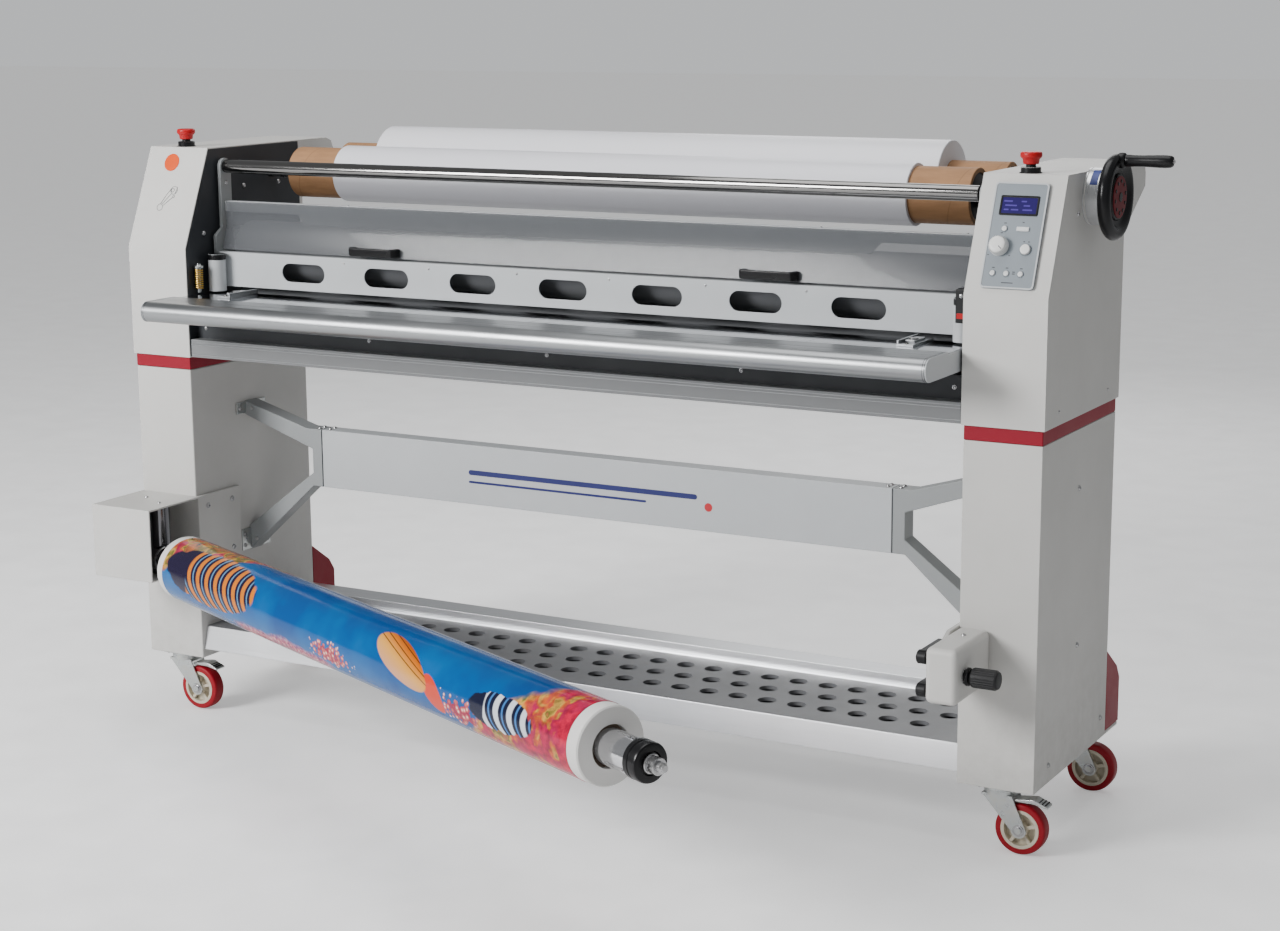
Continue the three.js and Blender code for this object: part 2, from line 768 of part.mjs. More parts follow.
// ---------------------------------------------------------------- nip rollers and their drive
const ROLLER_HALF = HEAD_INNER - NIP_END;
const JOURNAL_END = HEAD_INNER + JOURNAL_REACH;
const BOTTOM_Z = NIP_Z - NIP_RADIUS - NIP_OPEN / 2;
const TOP_Z = NIP_Z + NIP_RADIUS + NIP_OPEN / 2;

function rollerProfile() {
  const half = [
    [0, JOURNAL_END],
    [JOURNAL_RADIUS, JOURNAL_END],
    [JOURNAL_RADIUS, ROLLER_HALF],
    [NIP_RADIUS, ROLLER_HALF],
  ];
  return [...half.map(([r, x]) => [r, -x]), ...half.reverse()];
}

// A spur gear centred on the origin of (y, z), with straight-sided teeth thin enough to run freely.
function gearOutline(teeth, phase) {
  const pitch = (GEAR_MODULE * teeth) / 2;
  const root = pitch - 1.3 * GEAR_MODULE;
  const tip = pitch + 0.9 * GEAR_MODULE;
  const step = (2 * Math.PI) / teeth;
  const corners = [
    [root, -0.27],
    [tip, -0.1],
    [tip, 0.1],
    [root, 0.27],
  ];
  const at = (radius, turn) => [radius * Math.cos(turn), radius * Math.sin(turn)];
  const points = [];
  for (let i = 0; i < teeth; i++) {
    corners.forEach(([radius, share]) => points.push(at(radius, phase + (i + share) * step)));
  }
  return points;
}

function gear(teeth, phase, y, z, x0) {
  return alongX(gearOutline(teeth, phase), x0, x0 + GEAR_WIDTH).translate([0, y, z]);
}

const GEAR_X = HEAD_INNER + GEAR_INSET + SIDE_PLATE;
const MESH_TURN = (GEAR_ANGLE * Math.PI) / 180;
const CENTRES = (GEAR_MODULE * (GEAR_TEETH + PINION_TEETH)) / 2;
const PINION_Y = NIP_Y + CENTRES * Math.cos(MESH_TURN);
const PINION_Z = BOTTOM_Z + CENTRES * Math.sin(MESH_TURN);

function bottomRoller() {
  const wheel = gear(GEAR_TEETH, MESH_TURN, NIP_Y, BOTTOM_Z, GEAR_X);
  return join(turnedX(rollerProfile(), NIP_Y, BOTTOM_Z, 32), wheel);
}

// A tooth space of the pinion faces the tooth of the gear on the line of centres.
function motorPinion() {
  const phase = MESH_TURN + Math.PI + Math.PI / PINION_TEETH;
  const wheel = gear(PINION_TEETH, phase, PINION_Y, PINION_Z, GEAR_X);
  const shaft = rodX(MOTOR_SHAFT, GEAR_X, GEAR_X + GEAR_WIDTH + 30, PINION_Y, PINION_Z);
  return join(wheel, shaft);
}

function driveMotor() {
  const x0 = GEAR_X + GEAR_WIDTH + 8;
  const wall = HEAD_OUTER - HEAD_WALL - GAP;
  const body = rodX(MOTOR_RADIUS, x0 + 10, wall, PINION_Y, PINION_Z, 24);
  const s = MOTOR_RADIUS - 6;
  const face = block(x0, x0 + 30, PINION_Y - s, PINION_Y + s, PINION_Z - s, PINION_Z + s);
  const bore = rodX(MOTOR_SHAFT + RUNNING, x0 - CUT, wall - 20, PINION_Y, PINION_Z);
  return cut(join(body, face), bore);
}

function rollerBlock() {
  const x0 = HEAD_INNER + HEAD_WALL + BLOCK_INSET;
  const h = BLOCK_SIZE / 2;
  const body = block(x0, x0 + BLOCK_THICKNESS, NIP_Y - h, NIP_Y + h, TOP_Z - h, TOP_Z + h);
  const bore = rodX(JOURNAL_RADIUS + RUNNING, x0 - CUT, x0 + BLOCK_THICKNESS + CUT, NIP_Y, TOP_Z);
  return cut(body, bore);
}

addMesh("bottom_nip_roller", bottomRoller(), MATERIALS.rubber);
addMesh("top_nip_roller", turnedX(rollerProfile(), NIP_Y, TOP_Z, 32), MATERIALS.rubber);
addPair("roller_block", rollerBlock(), MATERIALS.zinc);
addMesh("drive_motor", driveMotor(), MATERIALS.black);
addMesh("motor_pinion", motorPinion(), MATERIALS.zinc);

// ---------------------------------------------------------------- supply rolls
// A wound roll on its longer core and its axle, as one turned piece.
function supplyRoll(y, z, filmRadius, coreRadius) {
  const axleEnd = HEAD_INNER + ROLL_AXLE_REACH;
  const half = [
    [0, axleEnd],
    [ROLL_AXLE, axleEnd],
    [ROLL_AXLE, CORE_LENGTH / 2],
    [coreRadius, CORE_LENGTH / 2],
    [coreRadius, FILM_LENGTH / 2],
    [filmRadius, FILM_LENGTH / 2],
  ];
  return turnedX([...half.map(([r, x]) => [r, -x]), ...half.reverse()], y, z, 32);
}

addMesh(
  "front_supply_roll",
  supplyRoll(FRONT_ROLL_Y, FRONT_ROLL_Z, FRONT_FILM_RADIUS, FRONT_CORE_RADIUS),
  MATERIALS.film,
);
addMesh(
  "rear_supply_roll",
  supplyRoll(REAR_ROLL_Y, REAR_ROLL_Z, REAR_FILM_RADIUS, REAR_CORE_RADIUS),
  MATERIALS.film,
);

// ---------------------------------------------------------------- idler, arms, bar and guards
function idlerBar() {
  const bar = ARM_INNER - 4;
  const end = ARM_INNER + ARM_THICKNESS + 2;
  const half = [
    [0, end],
    [IDLER_JOURNAL, end],
    [IDLER_JOURNAL, bar],
    [IDLER_RADIUS, bar],
  ];
  return turnedX([...half.map(([r, x]) => [r, -x]), ...half.reverse()], IDLER_Y, IDLER_Z, 20);
}

// An upright arm with a rounded top, a wider lower part, a post in front of it, and two stand-offs.
function coverArm() {
  const x0 = ARM_INNER;
  const x1 = x0 + ARM_THICKNESS;
  const w = ARM_WIDTH / 2;
  const foot = HEAD_BASE + ARM_FOOT_RISE;
  const wideTop = HEAD_BASE + ARM_WIDE_TOP;
  const outline = new THREE.Shape();
  outline.moveTo(ARM_WIDE_FRONT, foot);
  outline.lineTo(IDLER_Y + w, foot);
  outline.lineTo(IDLER_Y + w, IDLER_Z);
  outline.absarc(IDLER_Y, IDLER_Z, w, 0, Math.PI);
  outline.lineTo(IDLER_Y - w, wideTop + 16);
  outline.lineTo(ARM_WIDE_FRONT, wideTop);
  const postY = ARM_WIDE_FRONT - POST_RADIUS + 4;
  const post = rodZ(POST_RADIUS, TABLE_Z + GAP, TABLE_Z + POST_HEIGHT, x1 - POST_RADIUS, postY);
  const wall = HEAD_INNER - 1 - GAP;
  const standOff = (z) => rodX(9, x1 - CUT, wall, IDLER_Y, z, 12);
  const through = rodX(IDLER_JOURNAL + RUNNING, x0 - CUT, wall + CUT, IDLER_Y, IDLER_Z);
  const high = IDLER_Z - 60;
  return cut(join(alongX(outline, x0, x1), post, standOff(high), standOff(foot + 60)), through);
}

// A folded bar whose middle part hangs lower, with slanted ends.
function coverBar() {
  const half = ARM_INNER - GAP;
  const z0 = HEAD_BASE + BAR_RISE;
  const z1 = z0 + BAR_HEIGHT;
  const face = [
    [-LIP_HALF + LIP_SLANT, z0 - LIP_DROP],
    [LIP_HALF - LIP_SLANT, z0 - LIP_DROP],
    [LIP_HALF, z0],
    [half, z0],
    [half, z1],
    [-half, z1],
    [-half, z0],
    [-LIP_HALF, z0],
  ];
  const front = alongY(face, BAR_FRONT, BAR_FRONT + BAR_WALL);
  const shelf = block(-half, half, BAR_FRONT, BAR_FRONT + BAR_DEPTH, z1 - BAR_WALL, z1);
  return join(front, shelf);
}

function slottedGuard() {
  const half = ARM_INNER - GAP;
  const z0 = HEAD_BASE + GUARD_RISE;
  const z1 = z0 + GUARD_HEIGHT;
  const [y0, y1] = [GUARD_FRONT, GUARD_FRONT + GUARD_DEPTH];
  const outer = block(-half, half, y0, y1, z0, z1);
  const inside = block(
    -half - CUT,
    half + CUT,
    y0 + GUARD_WALL,
    y1 + CUT,
    z0 + GUARD_WALL,
    z1 - GUARD_WALL,
  );
  const slots = [];
  for (let i = 0; i < SLOT_COUNT; i++) {
    const x = (i - (SLOT_COUNT - 1) / 2) * SLOT_PITCH;
    const slot = stadium(x, (z0 + z1) / 2, SLOT_LENGTH, SLOT_HEIGHT);
    slots.push(alongY(slot, y0 - CUT, y0 + GUARD_WALL + CUT));
  }
  return cut(outer, inside, ...slots);
}

// A bent clear sheet that hangs from the cover bar, with two pull handles along its lower edge.
function clearGuard() {
  const half = ARM_INNER - 10;
  const foot = HEAD_BASE + GUARD_RISE + GUARD_HEIGHT + SHEET_GAP;
  const bend = HEAD_BASE + SHEET_BEND_RISE;
  const top = HEAD_BASE + BAR_RISE + BAR_HEIGHT;
  const outline = [
    [SHEET_FOOT_Y, foot],
    [SHEET_FOOT_Y + SHEET, foot],
    [SHEET_TOP_Y + SHEET, bend],
    [SHEET_TOP_Y + SHEET, top],
    [SHEET_TOP_Y, top],
    [SHEET_TOP_Y, bend],
  ];
  const sheet = alongX(outline, -half, half);
  const z0 = foot + 2;
  const handle = (x) => {
    const l = HANDLE_LENGTH / 2;
    const y0 = SHEET_FOOT_Y - HANDLE_REACH;
    const grip = block(x - l, x + l, y0, SHEET_FOOT_Y + 6, z0, z0 + HANDLE_HEIGHT);
    const room = block(
      x - l + 12,
      x + l - 12,
      y0 + 7,
      SHEET_FOOT_Y + 12,
      z0 - CUT,
      z0 + HANDLE_HEIGHT + CUT,
    );
    return cut(grip, room);
  };
  return join(sheet, handle(-HANDLE_X), handle(HANDLE_X));
}

addMesh("idler_bar", idlerBar(), MATERIALS.chrome);
addPair("cover_arm", coverArm(), MATERIALS.grey);
addMesh("cover_bar", coverBar(), MATERIALS.grey);
addMesh("slotted_guard", slottedGuard(), MATERIALS.guard);
addMesh("clear_guard", clearGuard(), MATERIALS.clear);

// ---------------------------------------------------------------- feed table
function feedTable() {
  const r = TABLE_NOSE;
  const noseY = TABLE_FRONT + r;
  const bed = TABLE_Z - TABLE_STEP;
  const land = TABLE_FRONT + TABLE_LAND;
  const outline = new THREE.Shape();
  outline.moveTo(noseY, TABLE_Z - 2 * r);
  outline.lineTo(TABLE_SKIRT, TABLE_Z - 2 * r);
  outline.lineTo(TABLE_SKIRT, bed - TABLE_BED);
  outline.lineTo(TABLE_REAR, bed - TABLE_BED);
  outline.lineTo(TABLE_REAR, bed);
  outline.lineTo(land, bed);
  outline.lineTo(land, TABLE_Z);
  outline.lineTo(noseY, TABLE_Z);
  outline.absarc(noseY, TABLE_Z - r, r, Math.PI / 2, Math.PI * 1.5);
  const half = HEAD_INNER - TABLE_END;
  const table = alongX(outline, -half, half);
  const stop = block(
    MEDIA_STOP_X - STOP_WIDTH / 2,
    MEDIA_STOP_X + STOP_WIDTH / 2,
    STOP_FRONT,
    TABLE_REAR,
    bed - 1,
    bed + STOP_HEIGHT,
  );
  return join(table, stop, mirrorX(stop));
}

addMesh("feed_table", feedTable(), MATERIALS.aluminium);

// ---------------------------------------------------------------- controls
// The panel group's x runs across the slope, its z up the slope, and its y into the cover.
const panelGroup = new THREE.Group();
panelGroup.position.set(CABINET_X, -HEAD_LIP, HEAD_BASE + SLOPE_RISE);
panelGroup.rotation.x = -SLOPE_TILT;
laminator.add(panelGroup);

const PANEL_LEFT = -CONTROL_WIDTH / 2;
const PANEL_UP = CONTROL_START + CONTROL_LENGTH;
const PLATE_FACE = -GAP - CONTROL_PLATE;
const CONTROLS = { speed_knob: SPEED_KNOB, jog_button: JOG_BUTTON, ...KEYS };

const across = (item) => PANEL_LEFT + item.across;
const upSlope = (item) => PANEL_UP - item.down;

function controlPanel() {
  const plate = block(
    PANEL_LEFT,
    -PANEL_LEFT,
    PLATE_FACE,
    -GAP,
    Math.min(CONTROL_START, SLOPE_LENGTH),
    PANEL_UP,
  );
  const top = PANEL_UP - DISPLAY_DROP;
  const window = block(
    -DISPLAY_WIDTH / 2,
    DISPLAY_WIDTH / 2,
    PLATE_FACE - DISPLAY_PROUD,
    PLATE_FACE + 1,
    top - DISPLAY_HEIGHT,
    top,
  );
  const holes = Object.values(CONTROLS).map((item) =>
    rodY(
      (item.radius ?? KEY_RADIUS) + KEY_ROOM,
      PLATE_FACE - CUT,
      CUT,
      across(item),
      upSlope(item),
      12,
    ),
  );
  const w = ROCKER.width / 2 + KEY_ROOM;
  const h = ROCKER.height / 2 + KEY_ROOM;
  const [x, z] = [across(ROCKER), upSlope(ROCKER)];
  const slot = block(x - w, x + w, PLATE_FACE - CUT, CUT, z - h, z + h);
  return cut(join(plate, window), ...holes, slot);
}

function roundKey(item, proud) {
  const face = PLATE_FACE - proud;
  return rodY(item.radius ?? KEY_RADIUS, face, -GAP - KEY_FLOAT, across(item), upSlope(item), 12);
}

// The knob has a flange that hides its hole, and a stem in the hole.
function speedKnob() {
  const { radius, height } = SPEED_KNOB;
  const face = PLATE_FACE - 0.6;
  const cap = rodY(radius, face - height, face, across(SPEED_KNOB), upSlope(SPEED_KNOB), 24);
  const stem = rodY(radius - 8, face - CUT, -GAP - 1, across(SPEED_KNOB), upSlope(SPEED_KNOB), 12);
  return join(cap, stem);
}

function rockerKey() {
  const [w, h] = [ROCKER.width / 2, ROCKER.height / 2];
  const [x, z] = [across(ROCKER), upSlope(ROCKER)];
  return block(x - w, x + w, PLATE_FACE - KEY_PROUD, PLATE_FACE + 2, z - h, z + h);
}

addMesh("control_panel", controlPanel(), MATERIALS.panel, panelGroup);
addMesh("speed_knob", speedKnob(), MATERIALS.key, panelGroup);
addMesh("jog_button", roundKey(JOG_BUTTON, 2 * KEY_PROUD), MATERIALS.key, panelGroup);
addMesh("rocker_key", rockerKey(), MATERIALS.key, panelGroup);
Object.entries(KEYS).forEach(([name, item]) =>
  addMesh(name, roundKey(item, KEY_PROUD), MATERIALS.key, panelGroup),
);

function emergencyStop() {
  const base = HEAD_TOP + ESTOP_COLLAR_HEIGHT + ESTOP_LIFT;
  return turnedZ(
    [
      [0, HEAD_TOP - 2],
      [ESTOP_STEM, HEAD_TOP - 2],
      [ESTOP_STEM, base],
      [ESTOP_RADIUS - 5, base],
      [ESTOP_RADIUS - 2, base + ESTOP_HEAD - 7],
      [ESTOP_RADIUS, base + ESTOP_HEAD - 5],
      [ESTOP_RADIUS - 3, base + ESTOP_HEAD - 1],
      [0, base + ESTOP_HEAD],
    ],
    CABINET_X,
    ESTOP_Y,
    20,
  );
}

addPair("estop_button", emergencyStop(), MATERIALS.estop);

// ---------------------------------------------------------------- handwheel
const WHEEL_X = HEAD_OUTER + HUB_LENGTH + 1;
const CRANK_Z = WHEEL_Z + CRANK_RADIUS;

function handwheel() {
  const face = WHEEL_X + WHEEL_THICKNESS;
  const rim = turnedX(
    [
      [0, WHEEL_X - WHEEL_SHAFT_LENGTH],
      [WHEEL_SHAFT, WHEEL_X - WHEEL_SHAFT_LENGTH],
      [WHEEL_SHAFT, WHEEL_X],
      [WHEEL_RADIUS - 12, WHEEL_X],
      [WHEEL_RADIUS, WHEEL_X + 7],
      [WHEEL_RADIUS, face - 5],
      [WHEEL_RADIUS - 6, face],
      [WHEEL_RADIUS - 22, face - 4],
      [0, face - 4],
    ],
    WHEEL_Y,
    WHEEL_Z,
    36,
  );
  return join(rim, rodX(GRIP_PIN, face - 8, face + GRIP_LENGTH - 8, WHEEL_Y, CRANK_Z, 12));
}

function crankGrip() {
  const start = WHEEL_X + WHEEL_THICKNESS + 1;
  const outer = turnedX(
    [
      [0, start],
      [GRIP_RADIUS - 2, start],
      [GRIP_RADIUS, start + 8],
      [GRIP_RADIUS, start + GRIP_LENGTH - 6],
      [GRIP_RADIUS - 5, start + GRIP_LENGTH],
      [0, start + GRIP_LENGTH],
    ],
    WHEEL_Y,
    CRANK_Z,
    16,
  );
  const bore = rodX(GRIP_PIN + RUNNING, start - CUT, start + GRIP_LENGTH - 6, WHEEL_Y, CRANK_Z, 12);
  return cut(outer, bore);
}

addMesh("handwheel", handwheel(), MATERIALS.black);
addMesh("crank_grip", crankGrip(), MATERIALS.black);

// ---------------------------------------------------------------- swing-out mandrel
// A folded cover in front of the left leg, open towards the machine, with a flange bolted to the leg.
function mandrelHousing() {
  const [x0, x1] = [-OUTER, -INNER + FLANGE];
  const [z0, z1] = [HOUSING_BASE, HOUSING_BASE + HOUSING_HEIGHT];
  const t = HOUSING_WALL;
  const box = block(x0, x1, HOUSING_FRONT, -GAP, z0, z1);
  const hollow = block(x0 + t, x1 + CUT, HOUSING_FRONT + t, -GAP - t, z0 + t, z1 - t);
  const flange = block(-INNER + GAP, x1, -GAP - 1, FLANGE_REAR, z0, z1);
  return join(cut(box, hollow), flange);
}

// The mandrel's group has its origin on the pivot; local X runs along the mandrel.
const mandrelGroup = new THREE.Group();
mandrelGroup.position.set(PIVOT_X, PIVOT_Y, MANDREL_Z);
mandrelGroup.rotation.z = (-SWING_ANGLE * Math.PI) / 180;
laminator.add(mandrelGroup);

function swingArm() {
  const room = HOUSING_WALL + 1;
  const low = HOUSING_BASE + room - MANDREL_Z;
  const high = HOUSING_BASE + HOUSING_HEIGHT - room - MANDREL_Z;
  const barrel = rodZ(BARREL_RADIUS, low, high, 0, 0);
  const arm = rodX(ARM_RADIUS, 6, ARM_END, 0, 0, 24);
  const bore = rodX(TIP_RADIUS + RUNNING, ARM_END - 60, ARM_END + CUT, 0, 0);
  return cut(join(barrel, arm), bore);
}

function mandrelShaft() {
  const tip = MANDREL_LENGTH;
  const cap = tip - TIP_LENGTH;
  const tube = cap - CAP_LENGTH;
  return turnedX(
    [
      [0, ARM_END - 50],
      [TIP_RADIUS, ARM_END - 50],
      [TIP_RADIUS, ARM_END + 1],
      [TUBE_RADIUS, ARM_END + 1],
      [TUBE_RADIUS, tube],
      [CAP_RADIUS, tube],
      [CAP_RADIUS, cap],
      [TIP_RADIUS, cap],
      [TIP_RADIUS, tip - 6],
      [TIP_RADIUS - 6, tip],
      [0, tip],
    ],
    0,
    0,
    28,
  );
}

function printRoll() {
  const bore = TUBE_RADIUS + GAP;
  return toSolid(
    turned(
      [
        [bore, ROLL_START],
        [PRINT_RADIUS, ROLL_START],
        [PRINT_RADIUS, ROLL_END],
        [bore, ROLL_END],
        [bore, ROLL_START],
      ],
      36,
    ).rotateZ(-Math.PI / 2),
  );
}

// The receiver on the right leg: a folded cover with a forked jaw that the mandrel's tip swings into.
function mandrelReceiver() {
  const x0 = INNER + GAP;
  const x1 = x0 + RECEIVER_WIDTH;
  const [z0, z1] = [RECEIVER_BASE, RECEIVER_BASE + RECEIVER_HEIGHT];
  const t = HOUSING_WALL;
  const box = block(x0, x1, HOUSING_FRONT, -GAP, z0, z1);
  const hollow = block(x0 + t, x1 - t, HOUSING_FRONT + t, -GAP - t, z0 - CUT, z1 - t);
  const flange = block(
    INNER - FLANGE,
    INNER - GAP,
    PIVOT_Y + TIP_RADIUS + JAW_ROOM,
    RECEIVER_FLANGE_REAR,
    z0,
    z1,
  );
  const bridge = block(INNER - FLANGE, x0 + t, -30, -GAP, z0, z1);
  const jawX1 = INNER + CUT;
  const jawX0 = jawX1 - JAW_THICKNESS;
  const half = TIP_RADIUS + JAW_ROOM;
  const jaw = block(
    jawX0,
    jawX1,
    PIVOT_Y - JAW_REACH,
    PIVOT_Y + half + 26,
    MANDREL_Z - JAW_OUTER,
    MANDREL_Z + JAW_OUTER,
  );
  const throat = block(
    jawX0 - CUT,
    jawX1 - CUT - GAP,
    PIVOT_Y - JAW_REACH - CUT,
    PIVOT_Y + half,
    MANDREL_Z - half,
    MANDREL_Z + half,
  );
  const knobHole = rodX(KNOB_STEM + RUNNING, x1 - t - CUT, x1 + CUT, KNOB_Y, MANDREL_Z);
  return cut(join(cut(box, hollow), flange, bridge, cut(jaw, throat)), knobHole);
}

function receiverKnob() {
  const face = INNER + GAP + RECEIVER_WIDTH;
  const start = face + KNOB_STAND;
  return turnedX(
    [
      [0, face - 26],
      [KNOB_STEM, face - 26],
      [KNOB_STEM, start],
      [KNOB_RADIUS - 2, start],
      [KNOB_RADIUS - 2, start + 6],
      [KNOB_STEM, start + 6],
      [KNOB_STEM, start + 10],
      [KNOB_RADIUS, start + 12],
      [KNOB_RADIUS, start + KNOB_LENGTH - 4],
      [KNOB_RADIUS - 4, start + KNOB_LENGTH],
      [0, start + KNOB_LENGTH],
    ],
    KNOB_Y,
    MANDREL_Z,
    20,
  );
}

addMesh("mandrel_housing", mandrelHousing(), MATERIALS.body);
addMesh("swing_arm", swingArm(), MATERIALS.dark, mandrelGroup);
addMesh("mandrel_shaft", mandrelShaft(), MATERIALS.chrome, mandrelGroup);
addMesh("print_roll", printRoll(), MATERIALS.print, mandrelGroup);
addMesh("mandrel_receiver", mandrelReceiver(), MATERIALS.body);
addMesh("receiver_knob", receiverKnob(), MATERIALS.black);

// ---------------------------------------------------------------- casters
// Each caster's group has its origin on the floor under its swivel; the wheel trails along +X.
function casterFork() {
  const top = LEG_BOTTOM - FOOT_PLATE - GAP;
  const bridgeTop = top - FORK_RACE_HEIGHT;
  const bridgeLow = bridgeTop - FORK_BRIDGE;
  const inner = CASTER_TREAD / 2 + FORK_ROOM;
  const outer = inner + FORK_SHEET;
  const race = rodZ(FORK_RACE, bridgeTop - CUT, top, 0, 0);
  const bridge = block(-FORK_RACE, FORK_RACE, -outer, outer, bridgeLow, bridgeTop);
  const r = CASTER_AXLE + 9;
  const cheekShape = new THREE.Shape();
  cheekShape.moveTo(-FORK_RACE, bridgeTop);
  cheekShape.lineTo(CASTER_TRAIL - r, CASTER_WHEEL - 2);
  cheekShape.absarc(CASTER_TRAIL, CASTER_WHEEL, r, Math.PI, 2 * Math.PI);
  cheekShape.lineTo(FORK_RACE, bridgeTop);
  const axle = rodY(CASTER_AXLE, -outer - 5, outer + 5, CASTER_TRAIL, CASTER_WHEEL, 12);
  return join(
    race,
    bridge,
    alongY(cheekShape, inner, outer),
    alongY(cheekShape, -outer, -inner),
    axle,
  );
}

function casterWheel() {
  const half = CASTER_TREAD / 2;
  const bore = CASTER_AXLE + RUNNING;
  const profile = [
    [bore, -half],
    [CASTER_HUB - 22, -half],
    [CASTER_HUB - 20, -half + 5],
    [CASTER_HUB, -half + 5],
    [CASTER_HUB, -half + 1],
    [CASTER_WHEEL - 3, -half + 1],
    [CASTER_WHEEL, -half + 7],
    [CASTER_WHEEL, half - 7],
    [CASTER_WHEEL - 3, half - 1],
    [CASTER_HUB, half - 1],
    [CASTER_HUB, half - 5],
    [CASTER_HUB - 20, half - 5],
    [CASTER_HUB - 22, half],
    [bore, half],
    [bore, -half],
  ];
  return toSolid(turned(profile, 24).translate(CASTER_TRAIL, 0, CASTER_WHEEL));
}

// A brake pedal behind the fork's bridge, over the wheel, with a turned-down toe.
function brakePedal() {
  const x0 = FORK_RACE + 2;
  const z0 = 2 * CASTER_WHEEL + PEDAL_RISE;
  const outline = [
    [x0, z0],
    [x0 + PEDAL_LENGTH * 0.6, z0],
    [x0 + PEDAL_LENGTH, z0 - 6],
    [x0 + PEDAL_LENGTH, z0 - 6 + PEDAL_SHEET],
    [x0 + PEDAL_LENGTH * 0.6, z0 + PEDAL_SHEET + 5],
    [x0, z0 + PEDAL_SHEET],
  ];
  return alongY(outline, -PEDAL_WIDTH / 2, PEDAL_WIDTH / 2);
}

[
  ["front_right", CABINET_X, CASTER_FRONT_Y, true],
  ["front_left", -CABINET_X, CASTER_FRONT_Y, true],
  ["rear_right", CABINET_X, CASTER_REAR_Y, false],
  ["rear_left", -CABINET_X, CASTER_REAR_Y, false],
].forEach(([place, x, y, braked]) => {
  const caster = new THREE.Group();
  caster.position.set(x, y, 0);
  laminator.add(caster);
  addMesh("caster_fork_" + place, casterFork(), MATERIALS.zinc, caster);
  addMesh("caster_wheel_" + place, casterWheel(), MATERIALS.red, caster);
  if (braked) addMesh("brake_pedal_" + place, brakePedal(), MATERIALS.zinc, caster);
});

// ---------------------------------------------------------------- the shared origin
// The origin is the centre of the object's footprint, on the floor.
laminator.updateMatrixWorld(true);
const bounds = new THREE.Box3().setFromObject(laminator, true);
const centre = bounds.getCenter(new THREE.Vector3());
laminator.position.set(-centre.x, -centre.y, -bounds.min.z);

const root = new THREE.Group();
root.add(laminator);

export default root;
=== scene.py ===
import logging
import math
from dataclasses import dataclass, field
from enum import Enum
from typing import Callable, Iterable, Sequence

import bmesh
import bpy
from mathutils import Matrix, Vector


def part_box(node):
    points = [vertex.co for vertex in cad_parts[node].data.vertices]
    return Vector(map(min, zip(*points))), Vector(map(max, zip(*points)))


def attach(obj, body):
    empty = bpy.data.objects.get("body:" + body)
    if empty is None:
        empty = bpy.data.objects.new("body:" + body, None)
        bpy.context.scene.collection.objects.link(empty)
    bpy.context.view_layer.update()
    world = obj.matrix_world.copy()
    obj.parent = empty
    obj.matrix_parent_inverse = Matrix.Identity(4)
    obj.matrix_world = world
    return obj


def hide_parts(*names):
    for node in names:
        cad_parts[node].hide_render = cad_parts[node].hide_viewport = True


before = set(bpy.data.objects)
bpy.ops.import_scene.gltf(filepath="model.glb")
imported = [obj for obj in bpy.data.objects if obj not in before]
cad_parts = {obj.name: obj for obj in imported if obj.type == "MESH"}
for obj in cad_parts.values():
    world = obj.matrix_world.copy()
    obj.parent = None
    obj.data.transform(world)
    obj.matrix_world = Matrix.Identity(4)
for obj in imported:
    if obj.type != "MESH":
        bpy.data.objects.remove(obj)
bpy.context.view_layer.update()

LOG = logging.getLogger("laminator")

Point = tuple[float, float]
Colour = tuple[float, float, float]
Value = object
Tree = bpy.types.NodeTree
Node = bpy.types.Node
Socket = bpy.types.NodeSocket

MM = 0.001
WELD = 0.004
FULL_TURN = 2 * math.pi

LEFT_LEG = [Vector(corner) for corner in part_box("leg_left")]
RIGHT_LEG = [Vector(corner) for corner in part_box("leg_right")]
MIDDLE_X = (LEFT_LEG[0].x + RIGHT_LEG[1].x) / 2
SHOP = Matrix.Translation((MIDDLE_X, RIGHT_LEG[0].y, 0)) @ Matrix.Scale(MM, 4)

INNER = (RIGHT_LEG[0].x - MIDDLE_X) / MM
OUTER = (RIGHT_LEG[1].x - MIDDLE_X) / MM
CABINET_X = (INNER + OUTER) / 2
HEAD_BASE = 816.0
HEAD_TOP = 1270.0
HEAD_LIP = 4.0
HEAD_INNER = INNER - HEAD_LIP
HEAD_OUTER = OUTER + HEAD_LIP
SLOPE_TILT = math.atan2(90, 214)
PIVOT = Vector((-(INNER + 26), -94, 380))
SWING = math.radians(24)

PANEL = (
    SHOP
    @ Matrix.Translation((CABINET_X, -HEAD_LIP, HEAD_BASE + 240))
    @ Matrix.Rotation(-SLOPE_TILT, 4, "X")
)
LEFT_SLOPE = (
    SHOP
    @ Matrix.Translation((-CABINET_X, -HEAD_LIP, HEAD_BASE + 240))
    @ Matrix.Rotation(-SLOPE_TILT, 4, "X")
)
MANDREL = SHOP @ Matrix.Translation(PIVOT) @ Matrix.Rotation(-SWING, 4, "Z")


class Axis(Enum):
    """The direction a profile runs along, which also fixes its two cross directions."""

    X = "x"
    Y = "y"
    Z = "z"

    def spot(self, u: float, v: float, along: float) -> Vector:
        """The point at (u, v) across the axis and some way along it.

        Args:
            u: Across, first direction.
            v: Across, second direction.
            along: The way along the axis.

        Returns:
            The point.
        """
        if self is Axis.X:
            return Vector((along, u, v))
        if self is Axis.Y:
            return Vector((u, along, v))
        return Vector((u, v, along))


class Side(Enum):
    """Which cabinet a piece belongs to; the left one is the right one's mirror image."""

    RIGHT = "right"
    LEFT = "left"

    @property
    def mirrored(self) -> bool:
        """Whether a piece built for the right is turned over."""
        return self is Side.LEFT


